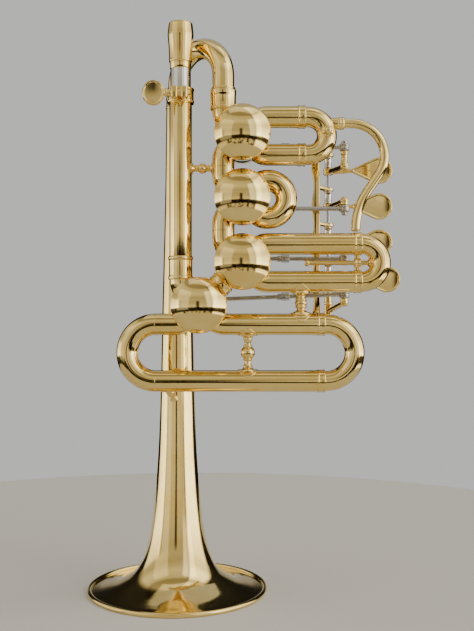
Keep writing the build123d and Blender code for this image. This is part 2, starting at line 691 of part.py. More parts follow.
def lever_rail():
    """Upright with a wavy left edge, five lugs for the axle and four feet on the slide tubes."""
    bottom = LUG_Z[-1] - 1.5
    top = LUG_Z[0] + 1.5
    waves = 9
    edge = []
    for step in range(waves + 1):
        height = bottom + (top - bottom) * step / waves
        edge.append((RAIL_X - RAIL_HALF_WIDTH - 0.6 * cos(pi * step), height))
    right = RAIL_X + RAIL_HALF_WIDTH
    outline = make_face(Spline(*edge) + Polyline(edge[-1], (right, top), (right, bottom), edge[0]))
    rail = slab(outline, RAIL_FRONT, RAIL_BACK)
    middle_y = (RAIL_FRONT + RAIL_BACK) / 2
    for height in LUG_Z:
        lug = hull_of([(RAIL_X, middle_y, 1.4), (AXLE_X, AXLE_Y, 3.0)])
        rail += plate(lug, height - 1.1, height + 1.1)
    feet = [
        ((RAIL_X, middle_y, 241.5), (56.0, SLIDE_PLANE_Y, leg_heights(0)[1])),
        ((RAIL_X, middle_y, leg_heights(2)[0]), (RAIL_X, SLIDE_PLANE_Y, leg_heights(2)[0])),
        ((RAIL_X, middle_y, leg_heights(2)[1]), (RAIL_X, SLIDE_PLANE_Y, leg_heights(2)[1])),
        ((RAIL_X, middle_y, 156.5), (72.5, SLIDE_PLANE_Y, slide_4_heights()[0])),
    ]
    for start, end in feet:
        rail += rod(start, end, 1.6)
        leg = end[2]
        rail -= rod((45, SLIDE_PLANE_Y, leg), (100, SLIDE_PLANE_Y, leg), SLIDE_RADIUS)
    rail -= rod((AXLE_X, AXLE_Y, bottom), (AXLE_X, AXLE_Y, top), AXLE_RADIUS)
    return rail


def lever_axle():
    """Steel rod through the lugs, with a slotted head at each end."""
    axle = rod((AXLE_X, AXLE_Y, AXLE_BOTTOM - 0.3), (AXLE_X, AXLE_Y, AXLE_TOP), AXLE_RADIUS)
    axle += rod((AXLE_X, AXLE_Y, LUG_Z[0] + 1.1), (AXLE_X, AXLE_Y, LUG_Z[0] + 2.4), 2.0)
    axle += rod((AXLE_X, AXLE_Y, LUG_Z[-1] - 2.4), (AXLE_X, AXLE_Y, LUG_Z[-1] - 1.1), 2.0)
    return axle


def barrel_span(lever):
    """Bottom and top of the spring barrel above a lever's hub."""
    return LEVER_Z[lever] + 2.2, LUG_Z[lever] - 1.15


def spring_barrels():
    barrels = []
    for lever in range(4):
        low, high = barrel_span(lever)
        barrels.append(sleeve((AXLE_X, AXLE_Y, low), (AXLE_X, AXLE_Y, high), 2.1, 1.65))
    return barrels


def lever_springs():
    springs = []
    for lever in range(4):
        low, high = barrel_span(lever)
        springs.append(sleeve((AXLE_X, AXLE_Y, low + 0.3), (AXLE_X, AXLE_Y, high - 0.3), 1.55, 1.1))
    return springs


def paddle(centre_x, z):
    """Oval finger plate with a dished face, narrowing to its arm."""
    outline = hull_of([(centre_x, z, PADDLE_RADIUS), (centre_x - 14.4, z, 1.3)])
    face_y = PADDLE_BACK - PADDLE_THICKNESS
    plate_part = slab(outline, face_y, PADDLE_BACK)
    dish_radius = 44.0
    dish_depth = 0.55
    dish = Pos(centre_x, face_y - dish_radius + dish_depth, z) * Sphere(dish_radius)
    return plate_part - dish


def lever(number):
    """Hub on the axle, an arm to the paddle, an arm to the link and the link's upright pin."""
    z = LEVER_Z[number]
    link_z = LINK_Z[number]
    centre_x = PADDLE_X + (PADDLE_4_SHIFT if number == 3 else 0)
    hub_bottom = z - 2.0
    arm_z = z
    if number == 3:
        hub_bottom = LUG_Z[-1] + 1.3
        arm_z = LEVER_4_FOOT_Z
    post_start = LINK_ARM_Z[number]
    upward = 1 if link_z > post_start else -1
    body = rod((AXLE_X, AXLE_Y, hub_bottom), (AXLE_X, AXLE_Y, z + 2.0), 2.1)
    body += rod((AXLE_X, AXLE_Y, z - 1.9), (AXLE_X, AXLE_Y, z + 1.9), 2.9)
    elbow = (centre_x - 20.0, AXLE_Y - 2.0, z)
    body += rod((AXLE_X, AXLE_Y, z), elbow, 1.4) + ball(elbow, 1.4)
    body += rod(elbow, (centre_x - 12.5, PADDLE_BACK - PADDLE_THICKNESS / 2, z), 1.4)
    body += paddle(centre_x, z)
    post_end = link_z - upward * 2.1
    body += rod((AXLE_X, AXLE_Y, arm_z), (LINK_X, LINK_Y, post_start), 1.5)
    body += ball((LINK_X, LINK_Y, post_start), 2.3)
    body += rod((LINK_X, LINK_Y, post_start), (LINK_X, LINK_Y, post_end), 2.1)
    body += rod((LINK_X, LINK_Y, post_start), (LINK_X, LINK_Y, link_z + upward * 1.2), PIN_RADIUS)
    body -= rod((AXLE_X, AXLE_Y, hub_bottom - 1), (AXLE_X, AXLE_Y, z + 3.0), AXLE_RADIUS + AXLE_GAP)
    return body


def link_rod(number):
    """Steel rod from the lever's pin to the stop arm's pin, with an adjusting nut."""
    x, z = VALVES[number]
    side = PIN_SIDE[number]
    eye_x = x - PIN_OFFSET
    eye_z = z + side * PIN_OFFSET
    link_z = LINK_Z[number]
    upward = 1 if link_z > LINK_ARM_Z[number] else -1
    slot_end = eye_z + side * 1.6
    eye = hull_of([(eye_x, eye_z, 2.7), (eye_x, slot_end, 2.7)])
    slot = hull_of([(eye_x, eye_z, PIN_RADIUS + 0.25), (eye_x, slot_end, PIN_RADIUS + 0.25)])
    bar_start = (eye_x + 2.2, LINK_Y, eye_z)
    bar_end = (LINK_X - 2.0, LINK_Y, link_z)
    body = slab(eye, LINK_Y - 1.1, LINK_Y + 1.1) + rod(bar_start, bar_end, 1.2)
    body += turned((LINK_X, LINK_Y, link_z), (0, 0, upward), [
        (2.2, -2.0), (2.9, -1.5), (2.9, 1.35), (2.2, 1.9), (1.4, 2.1), (1.4, 3.4), (1.0, 3.7),
    ])
    body -= slab(slot, LINK_Y - 1.2, LINK_Y + 1.2)
    pin_hole_end = link_z + upward * 1.3
    pin_hole_start = link_z - upward * 2.5
    return body - rod((LINK_X, LINK_Y, pin_hole_start), (LINK_X, LINK_Y, pin_hole_end), PIN_RADIUS + AXLE_GAP)


def adjusting_nut(number):
    """Hexagonal lock nut on a link rod."""
    x, z = VALVES[number]
    eye = Vector(x - PIN_OFFSET, LINK_Y, z + PIN_SIDE[number] * PIN_OFFSET)
    end = Vector(LINK_X, LINK_Y, LINK_Z[number])
    along = (Vector(LINK_X - 2.0, LINK_Y, LINK_Z[number]) - (eye + Vector(2.2, 0, 0))).normalized()
    place = eye + Vector(2.2, 0, 0) + along * (58.0 - eye.X - 2.2)
    nut = Plane(origin=place, z_dir=along) * extrude(RegularPolygon(2.3, 6) - Circle(1.2), amount=4.5)
    return nut


# ---- Angles that the linkage is set out for ----

def link_return_ratio(number):
    """How far a link rod turns against its lever, per degree, so that its eye stays at one depth."""
    turn = radians(LEVER_ANGLE)
    reach_x = LINK_X - AXLE_X
    reach_y = AXLE_Y - LINK_Y
    shift = reach_x * sin(turn) + reach_y * (1 - cos(turn))
    length = LINK_X - (VALVES[number][0] - PIN_OFFSET)
    return (asin(shift / length) - turn) / turn


# ---- Nodes ----

def pieces():
    """Every node's name with its solid or its group of solids."""
    valves = range(4)
    made = {
        "bell": bell(),
        "bell_rim_wire": bell_rim_wire(),
        "bell_bow": bell_bow(),
        "bow_ferrules": bow_ferrules(),
        "leadpipe": leadpipe(),
        "leadpipe_elbow": leadpipe_elbow(),
        "joint_ferrules": joint_ferrules(),
        "clamp_ring": clamp_ring(),
        "thumb_screw": thumb_screw(),
        "tuning_tube": tuning_tube(),
        "receiver": receiver(),
        "valve_caps": [valve_cap(valve) for valve in valves],
        "bearing_plates": [bearing_plate(valve) for valve in valves],
        "stop_corks": sum([stop_corks(valve) for valve in valves], []),
        "valve_links": [valve_link(2, 1), valve_link(1, 0)],
        "diagonal_link": diagonal_link(),
        "valve_outlet": valve_outlet(),
        "slide_1_tubes": slide_tubes(0, SLIDE_1_MOUTH_X),
        "slide_1_crook": crook(1, SLIDE_1_BEND_X, *leg_heights(0)),
        "slide_1_knob": slide_1_knob(),
        "slide_1_grip_rod": slide_1_grip_rod(),
        "slide_2_bow": slide_2_bow(),
        "slide_3_tubes": slide_tubes(2, SLIDE_3_MOUTH_X),
        "slide_3_crook": crook(3, SLIDE_3_BEND_X, *leg_heights(2)),
        "slide_3_stop_rod": slide_3_stop_rod(),
        "slide_3_bridge": slide_3_bridge(),
        "slide_4_tubes": slide_4_tubes(),
        "slide_4_return_bow": slide_4_return_bow(),
        "slide_4_crook": crook(4, SLIDE_4_BEND_X, *slide_4_heights()),
        "slide_ferrules": slide_ferrules(),
        "leadpipe_brace": leadpipe_brace(),
        "bell_braces": bell_braces(),
        "slide_4_brace": slide_4_brace(),
        "slide_brace_34": slide_brace_34(),
        "lever_rail": lever_rail(),
        "lever_axle": lever_axle(),
        "spring_barrels": spring_barrels(),
        "lever_springs": lever_springs(),
    }
    for valve in valves:
        number = valve + 1
        made[f"valve_casing_{number}"] = valve_casing(valve)
        made[f"rotor_{number}"] = rotor(valve)
        made[f"stop_arm_{number}"] = stop_arm(valve)
        made[f"lever_{number}"] = lever(valve)
        made[f"link_rod_{number}"] = [link_rod(valve), adjusting_nut(valve)]
    return made


def main():
    os.makedirs("parts", exist_ok=True)
    for name, shape in pieces().items():
        if isinstance(shape, list):
            solids = [solid for part in shape for solid in part.solids()]
        else:
            solids = shape.solids()
        export_step(Compound(children=solids), f"parts/{name}.step")
    for valve in range(4):
        print("link rod", valve + 1, "turns", round(link_return_ratio(valve), 4), "per unit of its lever")


main()
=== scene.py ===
"""Looks of a piccolo trumpet with four rotary valves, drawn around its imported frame.

Lengths written as plain numbers in the tables are millimetres, and MM turns them into metres.
"""
import json
from math import cos, pi, radians, sin, sqrt

import bmesh
import bpy
from bpy.props import FloatProperty, FloatVectorProperty, IntProperty, PointerProperty
from mathutils import Matrix, Vector
from mathutils.geometry import interpolate_bezier


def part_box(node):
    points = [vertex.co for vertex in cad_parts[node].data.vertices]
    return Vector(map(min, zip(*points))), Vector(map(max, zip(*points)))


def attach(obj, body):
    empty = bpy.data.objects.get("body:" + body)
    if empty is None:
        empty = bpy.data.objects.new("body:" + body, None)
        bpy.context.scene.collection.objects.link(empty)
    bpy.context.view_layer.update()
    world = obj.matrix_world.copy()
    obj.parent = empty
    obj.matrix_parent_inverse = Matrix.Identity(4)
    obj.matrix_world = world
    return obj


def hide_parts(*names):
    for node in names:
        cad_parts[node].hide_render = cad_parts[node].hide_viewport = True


bl_info = {
    "name": "Piccolo Trumpet",
    "version": (1, 0, 0),
    "blender": (4, 5, 0),
    "location": "View3D > Sidebar > Trumpet",
    "description": "Builds the lacquered brasswork, valves, slides and levers of a rotary piccolo trumpet",
    "category": "Object",
}

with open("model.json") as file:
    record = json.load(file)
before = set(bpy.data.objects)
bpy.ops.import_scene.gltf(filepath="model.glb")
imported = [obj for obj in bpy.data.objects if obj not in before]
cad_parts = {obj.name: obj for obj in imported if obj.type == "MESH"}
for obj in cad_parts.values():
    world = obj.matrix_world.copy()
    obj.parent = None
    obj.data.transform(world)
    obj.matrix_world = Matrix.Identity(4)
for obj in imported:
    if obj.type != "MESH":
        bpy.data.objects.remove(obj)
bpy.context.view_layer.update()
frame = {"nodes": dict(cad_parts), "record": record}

MM = 0.001
AXIS_X = Vector((1, 0, 0))
AXIS_Y = Vector((0, 1, 0))
AXIS_Z = Vector((0, 0, 1))
RIGHT_ANGLE = pi / 2
BODY_OF_NODE = {
    node: body
    for body, nodes in frame["record"]["behaviour"]["bodies"].items()
    for node in nodes
}
SLOT_OF_NODE = {part["node"]: part["material_slot"] for part in frame["record"]["subparts"]}
JOINTS = {joint["name"]: joint for joint in frame["record"]["behaviour"]["joints"]}
MOUNTS = {mount["name"]: mount for mount in frame["record"]["mounts"]}
VALVE_NUMBERS = (1, 2, 3, 4)


# ---- Places read from the frame ----

def low(node):
    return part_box(node)[0]


def high(node):
    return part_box(node)[1]


def middle(node):
    return (low(node) + high(node)) / 2


def valve_centre(number):
    """Where a valve's axis meets the plane of the slides."""
    return Vector(JOINTS[f"rotor_{number}_turn"]["pos_m"])


SLIDE_PLANE = valve_centre(1).y
CASING_RADIUS = (high("valve_casing_1").x - low("valve_casing_1").x) / 2
SLIDE_RADIUS = (high("slide_4_tubes").y - low("slide_4_tubes").y) / 2
CROOK_RADIUS = (high("slide_1_crook").y - low("slide_1_crook").y) / 2
MAIN_RADIUS = (high("valve_outlet").y - low("valve_outlet").y) / 2
LEADPIPE = Vector(MOUNTS["mouthpiece_socket"]["pos_m"])
MAIN_X = middle("valve_links").x
PORT_OFFSET = valve_centre(1).x - MAIN_X
KNUCKLE_RADIUS = 8 * MM
KNUCKLE_COS = sqrt(0.5)
PORT_REACH = PORT_OFFSET / KNUCKLE_COS - KNUCKLE_RADIUS * (1 / KNUCKLE_COS - 1)
JOINT_LAP = 0.3 * MM
SOLDER_LINE = sqrt(CASING_RADIUS ** 2 - MAIN_RADIUS ** 2) - 0.05 * MM
AXLE = Vector(JOINTS["lever_1_press"]["pos_m"])
LINK_PINS = [Vector(JOINTS[f"rod_{number}_swing"]["pos_m"]) for number in VALVE_NUMBERS]
PADDLE_RADIUS = 7.5 * MM
STOP_PIN_SHIFT = 3.18 * MM
LEADPIPE_RADIUS = 6.1 * MM


# ---- Sizes and colours a user would change ----

class TrumpetSizes(bpy.types.PropertyGroup):
    ring_segments: IntProperty(
        name="Ring segments", description="Faces round each tube and turned piece",
        default=80, min=24, max=160,
    )
    bell_segments: IntProperty(
        name="Bell segments", description="Faces round the bell", default=144, min=48, max=256
    )
    bend_steps: IntProperty(
        name="Bend steps", description="Faces along each quarter turn of a tube", default=16, min=6, max=40
    )
    bell_wall: FloatProperty(
        name="Bell wall", description="Thickness of the bell's sheet", default=0.7 * MM,
        unit="LENGTH", precision=5,
    )
    edge_break: FloatProperty(
        name="Edge break", description="Width of the small bevel on turned edges", default=0.14 * MM,
        unit="LENGTH", precision=5,
    )


class TrumpetFinish(bpy.types.PropertyGroup):
    gold: FloatVectorProperty(
        name="Gold lacquer", description="Colour of the lacquered brass", subtype="COLOR", size=3,
        default=(0.93, 0.72, 0.27), min=0, max=1,
    )
    gold_deep: FloatVectorProperty(
        name="Deep gold", description="Warmer colour in the lacquer's clouds", subtype="COLOR", size=3,
        default=(0.88, 0.62, 0.18), min=0, max=1,
    )
    nickel: FloatVectorProperty(
        name="Nickel silver", description="Colour of the grey tubes", subtype="COLOR", size=3,
        default=(0.14, 0.135, 0.13), min=0, max=1,
    )
    steel: FloatVectorProperty(
        name="Steel", description="Colour of the rods, screws and axle", subtype="COLOR", size=3,
        default=(0.56, 0.56, 0.58), min=0, max=1,
    )
    raw_brass: FloatVectorProperty(
        name="Raw brass", description="Colour of the rotors and bearing plates", subtype="COLOR", size=3,
        default=(0.78, 0.62, 0.34), min=0, max=1,
    )
    cork: FloatVectorProperty(
        name="Cork", description="Colour of the bumpers", subtype="COLOR", size=3,
        default=(0.50, 0.33, 0.18), min=0, max=1,
    )
    polish: FloatProperty(
        name="Polish", description="Lowest roughness of the lacquer", subtype="FACTOR",
        default=0.05, min=0, max=1,
    )


class TrumpetStage(bpy.types.PropertyGroup):
    floor_colour: FloatVectorProperty(
        name="Floor", description="Colour of the floor", subtype="COLOR", size=3,
        default=(0.72, 0.71, 0.69), min=0, max=1,
    )
    floor_radius: FloatProperty(
        name="Floor radius", description="Radius of the round floor", default=0.38, unit="LENGTH"
    )
    camera_distance: FloatProperty(
        name="Camera distance", description="From the bell's axis to the camera", default=0.513, unit="LENGTH"
    )
    camera_side: FloatProperty(
        name="Camera offset", description="Camera's place along the slides", default=0.0335, unit="LENGTH"
    )
    camera_height: FloatProperty(
        name="Camera height", description="Camera's height over the floor", default=0.1543, unit="LENGTH"
    )
    camera_lens: FloatProperty(
        name="Lens", description="Focal length in millimetres", default=51.9, min=10, max=200
    )
    key_power: FloatProperty(
        name="Key light", description="Power of the large light on the right",
        default=2.0, unit="POWER", min=0,
    )
    fill_power: FloatProperty(
        name="Fill light", description="Power of the light on the left",
        default=1.2, unit="POWER", min=0,
    )
    top_power: FloatProperty(
        name="Top light", description="Power of the light overhead",
        default=2.0, unit="POWER", min=0,
    )


# ---- Materials ----

class NodeTree:
    """Short names for adding and joining a tree's nodes."""

    def __init__(self, tree):
        self.tree = tree
        tree.nodes.clear()

    def add(self, kind, **settings):
        node = self.tree.nodes.new(kind)
        for name, value in settings.items():
            setattr(node, name, value)
        return node

    def join(self, output, target):
        self.tree.links.new(output, target)

    def noise(self, coordinates, scale, detail=3.0, roughness=0.55, distortion=0.0):
        node = self.add("ShaderNodeTexNoise")
        node.inputs["Scale"].default_value = scale
        node.inputs["Detail"].default_value = detail
        node.inputs["Roughness"].default_value = roughness
        node.inputs["Distortion"].default_value = distortion
        self.join(coordinates, node.inputs["Vector"])
        return node.outputs["Fac"]

    def ramp(self, factor, stops):
        """A colour ramp; stops are (place, colour)."""
        node = self.add("ShaderNodeValToRGB")
        elements = node.color_ramp.elements
        while len(elements) < len(stops):
            elements.new(0.5)
        for element, (place, colour) in zip(elements, stops):
            element.position = place
            element.color = (*colour, 1)
        self.join(factor, node.inputs["Fac"])
        return node.outputs["Color"]

    def spread(self, value, lowest, highest, from_low=0.3, from_high=0.7):
        """Maps the middle of a noise's range to lowest..highest."""
        node = self.add("ShaderNodeMapRange")
        node.inputs["From Min"].default_value = from_low
        node.inputs["From Max"].default_value = from_high
        node.inputs["To Min"].default_value = lowest
        node.inputs["To Max"].default_value = highest
        self.join(value, node.inputs["Value"])
        return node.outputs["Result"]

    def bump(self, height, strength, distance):
        node = self.add("ShaderNodeBump")
        node.inputs["Strength"].default_value = strength
        node.inputs["Distance"].default_value = distance
        self.join(height, node.inputs["Height"])
        return node.outputs["Normal"]

    def stretched(self, coordinates, scale):
        """Coordinates squeezed along each axis, for brushed and wiped marks."""
        node = self.add("ShaderNodeMapping")
        node.inputs["Scale"].default_value = scale
        self.join(coordinates, node.inputs["Vector"])
        return node.outputs["Vector"]


def new_material(name):
    """An empty material's tree, its shader and the object's own coordinates."""
    material = bpy.data.materials.new(name)
    material.use_nodes = True
    tree = NodeTree(material.node_tree)
    shader = tree.add("ShaderNodeBsdfPrincipled")
    output = tree.add("ShaderNodeOutputMaterial")
    tree.join(shader.outputs["BSDF"], output.inputs["Surface"])
    coordinates = tree.add("ShaderNodeTexCoord").outputs["Object"]
    return tree, shader, coordinates


def lacquer_material(finish):
    """Polished brass under clear gold lacquer, with soft clouds, wiped marks and hairline scratches."""
    tree, shader, place = new_material("gold_lacquer")
    clouds = tree.noise(place, 55, 4, 0.6, 0.4)
    tree.join(tree.ramp(clouds, [(0.3, finish.gold_deep), (0.62, finish.gold)]), shader.inputs["Base Color"])
    smears = tree.noise(tree.stretched(place, (90, 90, 22)), 6, 5, 0.65, 0.8)
    tree.join(tree.spread(smears, finish.polish, finish.polish + 0.09), shader.inputs["Roughness"])
    hairlines = tree.noise(tree.stretched(place, (900, 900, 60)), 5, 2, 0.5)
    ripple = tree.noise(place, 70, 1, 0.4)
    relief = tree.add("ShaderNodeMath", operation="ADD")
    tree.join(hairlines, relief.inputs[0])
    tree.join(tree.spread(ripple, 0, 2.2, 0.2, 0.8), relief.inputs[1])
    tree.join(tree.bump(relief.outputs["Value"], 0.05, 0.00012), shader.inputs["Normal"])
    shader.inputs["Metallic"].default_value = 1.0
    shader.inputs["Coat Weight"].default_value = 0.35
    shader.inputs["Coat Roughness"].default_value = 0.03
    shader.inputs["Coat IOR"].default_value = 1.5


def plain_metal(name, colour, lowest, highest, brush, bump_strength):
    """Unlacquered metal, drawn or turned, with fine marks along one direction."""
    tree, shader, place = new_material(name)
    clouds = tree.noise(place, 80, 4, 0.6)
    darker = tuple(0.78 * value for value in colour)
    tree.join(tree.ramp(clouds, [(0.32, darker), (0.65, tuple(colour))]), shader.inputs["Base Color"])
    marks = tree.noise(tree.stretched(place, brush), 6, 4, 0.6)
    tree.join(tree.spread(marks, lowest, highest), shader.inputs["Roughness"])
    tree.join(tree.bump(marks, bump_strength, 0.00006), shader.inputs["Normal"])
    shader.inputs["Metallic"].default_value = 1.0


def cork_material(colour):
    """Pressed cork: pale grains, dark pits and a rough skin."""
    tree, shader, place = new_material("cork")
    grains = tree.add("ShaderNodeTexVoronoi")
    grains.inputs["Scale"].default_value = 2600
    tree.join(place, grains.inputs["Vector"])
    pits = tree.noise(place, 3200, 5, 0.7)
    dark = tuple(0.45 * value for value in colour)
    pale = tuple(min(1, 1.35 * value) for value in colour)
    tree.join(tree.ramp(pits, [(0.34, dark), (0.5, tuple(colour)), (0.7, pale)]), shader.inputs["Base Color"])
    tree.join(tree.bump(grains.outputs["Distance"], 0.5, 0.0002), shader.inputs["Normal"])
    shader.inputs["Roughness"].default_value = 0.85


def floor_material(colour):
    """Matt paper sweep with a faint tooth."""
    tree, shader, place = new_material("pale_floor")
    tooth = tree.noise(place, 900, 4, 0.6)
    cloud = tree.noise(place, 3, 2, 0.5)
    shade = tuple(0.97 * value for value in colour)
    tree.join(tree.ramp(cloud, [(0.3, shade), (0.7, tuple(colour))]), shader.inputs["Base Color"])
    tree.join(tree.bump(tooth, 0.12, 0.0002), shader.inputs["Normal"])
    shader.inputs["Roughness"].default_value = 0.9
    shader.inputs["Specular IOR Level"].default_value = 0.1
    return bpy.data.materials["pale_floor"]


MATERIAL_OF_SLOT = {
    "lacquer": "gold_lacquer", "raw_brass": "raw_brass", "nickel_silver": "nickel_silver",
    "steel": "polished_steel", "cork": "cork",
}


def make_materials(finish):
    """One material for each of the record's slots."""
    lacquer_material(finish)
    plain_metal("raw_brass", finish.raw_brass, 0.22, 0.38, (60, 700, 60), 0.12)
    plain_metal("nickel_silver", finish.nickel, 0.08, 0.2, (500, 500, 40), 0.05)
    plain_metal("polished_steel", finish.steel, 0.16, 0.3, (40, 600, 600), 0.08)
    cork_material(finish.cork)


def slot_material(slot):
    return bpy.data.materials[MATERIAL_OF_SLOT[slot]]


# ---- Mesh helpers ----

def sizes():
    return bpy.context.scene.trumpet_sizes


def place_along(origin, direction):
    """Turns a shape drawn up Z so that it stands at origin along direction."""
    return Matrix.Translation(origin) @ Vector(direction).to_track_quat("Z", "Y").to_matrix().to_4x4()


def soften(bm, width, angle=radians(28), segments=3):
    """Rounds every edge that turns more than angle."""
    sharp = [edge for edge in bm.edges if len(edge.link_faces) == 2 and edge.calc_face_angle(0) > angle]
    bmesh.ops.bevel(
        bm, geom=sharp, offset=width, offset_type="OFFSET", segments=segments, profile=0.5,
        affect="EDGES", clamp_overlap=True, material=-1,
    )


def close_mesh(bm):
    bmesh.ops.remove_doubles(bm, verts=bm.verts, dist=0.002 * MM)
    loose = [edge for edge in bm.edges if not edge.link_faces]
    bmesh.ops.delete(bm, geom=loose, context="EDGES")
    bmesh.ops.recalc_face_normals(bm, faces=bm.faces)


def add_piece(name, bm, node, angle=32):
    """Makes the mesh an object that rides with its node's body and stands for that node."""
    close_mesh(bm)
    mesh = bpy.data.meshes.new(name)
    bm.to_mesh(mesh)
    bm.free()
    for face in mesh.polygons:
        face.use_smooth = True
    mesh.set_sharp_from_angle(angle=radians(angle))
    piece = bpy.data.objects.new(name, mesh)
    bpy.context.scene.collection.objects.link(piece)
    slot = SLOT_OF_NODE[node]
    mesh.materials.append(slot_material(slot))
    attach(piece, BODY_OF_NODE[node])
    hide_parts(node)
    return piece


def lathe(bm, profile, place, segments=None, closed=False, soft=True):
    """Spins a profile of (radius, height) in millimetres about Z, rounds its edges and puts it in place."""
    part = bmesh.new()
    corners = [part.verts.new(Vector((radius, 0, height)) * MM) for radius, height in profile]
    pairs = list(zip(corners, corners[1:]))
    if closed:
        pairs.append((corners[-1], corners[0]))
    edges = [part.edges.new(pair) for pair in pairs]
    bmesh.ops.spin(
        part, geom=corners + edges, cent=(0, 0, 0), axis=AXIS_Z, dvec=(0, 0, 0),
        angle=2 * pi, steps=segments or sizes().ring_segments, use_merge=True,
    )
    close_mesh(part)
    if soft:
        soften(part, sizes().edge_break)
    part.transform(place)
    join(bm, part)


def join(bm, part):
    """Adds a part's mesh to bm."""
    mesh = bpy.data.meshes.new("part")
    part.to_mesh(mesh)
    part.free()
    bm.from_mesh(mesh)
    bpy.data.meshes.remove(mesh)


def turned(bm, profile, place, soft=True):
    """A solid turned piece: the profile is closed on the axis at both ends."""
    ends = [(0, profile[0][1])] + list(profile) + [(0, profile[-1][1])]
    lathe(bm, ends, place, soft=soft)


def ring(bm, outer, inner, bottom, top, place):
    """A plain ring or sleeve."""
    lathe(bm, [(outer, bottom), (outer, top), (inner, top), (inner, bottom)], place, closed=True)


def smooth_profile(knots, steps=10):
    """Points on a smooth curve through the knots, each (radius, height)."""
    points = [Vector((radius, 0, height)) for radius, height in knots]
    slopes = []
    for index, point in enumerate(points):
        before = points[max(index - 1, 0)]
        after = points[min(index + 1, len(points) - 1)]
        slopes.append((after - before).normalized())
    curve = []
    for index in range(len(points) - 1):
        reach = (points[index + 1] - points[index]).length / 3
        handles = (points[index] + slopes[index] * reach, points[index + 1] - slopes[index + 1] * reach)
        piece = interpolate_bezier(points[index], handles[0], handles[1], points[index + 1], steps)
        curve += piece[:-1]
    curve.append(points[-1])
    return [(point.x, point.z) for point in curve]


def only_verts(items):
    return [item for item in items if isinstance(item, bmesh.types.BMVert)]


def fill_loop(bm, items):
    """Closes the open ring that a sweep ended with."""
    bmesh.ops.contextual_create(bm, geom=[item for item in items if isinstance(item, bmesh.types.BMEdge)])


class Tube:
    """A round tube drawn ring by ring along straight runs and bends, in metres."""

    def __init__(self, bm, start, direction, radius):
        self.bm = bm
        self.place = Vector(start)
        self.direction = Vector(direction).normalized()
        self.radius = radius
        made = bmesh.ops.create_circle(
            bm, cap_ends=True, segments=sizes().ring_segments, radius=radius,
            matrix=place_along(self.place, self.direction),
        )
        edges = {edge for vert in made["verts"] for edge in vert.link_edges}
        self.ring = list(made["verts"]) + list(edges)

    def sweep(self, centre, axis, angle, step, steps):
        made = bmesh.ops.spin(
            self.bm, geom=self.ring, cent=centre, axis=axis, dvec=step, angle=angle, steps=steps,
            use_merge=False,
        )
        self.ring = made["geom_last"]

    def widen(self, radius):
        """Changes the last ring's radius."""
        share = radius / self.radius
        space = Matrix.Translation(-self.place)
        bmesh.ops.scale(self.bm, vec=(share,) * 3, space=space, verts=only_verts(self.ring))
        self.radius = radius

    def run(self, length, radius=None):
        self.sweep(self.place, self.direction, 0, self.direction * length, 1)
        self.place = self.place + self.direction * length
        if radius:
            self.widen(radius)
        return self

    def bend(self, toward, angle, bend_radius, radius=None):
        """Turns towards a direction; radius is the tube's own at the end of the bend."""
        toward = Vector(toward)
        inward = (toward - self.direction * toward.dot(self.direction)).normalized()
        axis = self.direction.cross(inward)
        centre = self.place + inward * bend_radius
        steps = max(2, round(sizes().bend_steps * angle / RIGHT_ANGLE))
        start_radius = self.radius
        for step in range(1, steps + 1):
            self.sweep(centre, axis, angle / steps, (0, 0, 0), 1)
            turn = Matrix.Rotation(angle / steps, 4, axis)
            self.place = centre + turn @ (self.place - centre)
            self.direction = (turn @ self.direction).normalized()
            if radius:
                self.widen(start_radius + (radius - start_radius) * step / steps)
        return self

    def close(self):
        fill_loop(self.bm, self.ring)


def open_mouth(tube, bore, depth):
    """Ends a tube in a real bore instead of a flat end."""
    tube.sweep(tube.place, tube.direction, 0, (0, 0, 0), 1)
    tube.widen(bore)
    tube.run(-depth).close()


def port_tube(bm, number, side, up, toward, leg_end, radius, bore=0, depth=0):
    """From a casing's wall, round the 45 degree knuckle, and straight on to leg_end."""
    diagonal = Vector((side, 0, up)).normalized()
    toward = Vector(toward)
    part = bmesh.new()
    tube = Tube(part, valve_centre(number) + diagonal * PORT_REACH, diagonal, radius)
    tube.bend(toward, RIGHT_ANGLE / 2, KNUCKLE_RADIUS)
    tube.run(abs(leg_end - (tube.place.x if toward.x else tube.place.z)))
    if depth:
        open_mouth(tube, bore, depth)
    else:
        tube.close()
    trim(part, valve_centre(number) + diagonal * SOLDER_LINE, diagonal)
    join(bm, part)


def trim(part, point, normal):
    """Cuts away what lies behind a plane and closes the cut."""
    bmesh.ops.bisect_plane(
        part, geom=part.verts[:] + part.edges[:] + part.faces[:], plane_co=point, plane_no=normal,
        clear_inner=True,
    )
    rims = [edge for edge in part.edges if edge.is_boundary]
    bmesh.ops.holes_fill(part, edges=rims)


def straight(bm, start, end, radius, end_radius=None):
    """A round bar between two points."""
    along = Vector(end) - Vector(start)
    Tube(bm, start, along, radius).run(along.length, end_radius).close()


def filleted_bar(bm, corners, bend_radii, radius):
    """A round bar through corners, each inner one rounded; returns the tube at its last point."""
    corners = [Vector(corner) for corner in corners]
    directions = [(after - before).normalized() for before, after in zip(corners, corners[1:])]
    turns = [first.angle(second) for first, second in zip(directions, directions[1:])]
    cuts = [0] + [bend * sin(turn / 2) / cos(turn / 2) for bend, turn in zip(bend_radii, turns)] + [0]
    bar = Tube(bm, corners[0], directions[0], radius)
    for index, (before, after) in enumerate(zip(corners, corners[1:])):
        bar.run((after - before).length - cuts[index] - cuts[index + 1])
        if index < len(turns):
            bar.bend(directions[index + 1], turns[index], bend_radii[index])
    return bar


def ball(bm, centre, radius):
    place = Matrix.Translation(centre)
    bmesh.ops.create_uvsphere(bm, u_segments=48, v_segments=28, radius=radius, matrix=place)


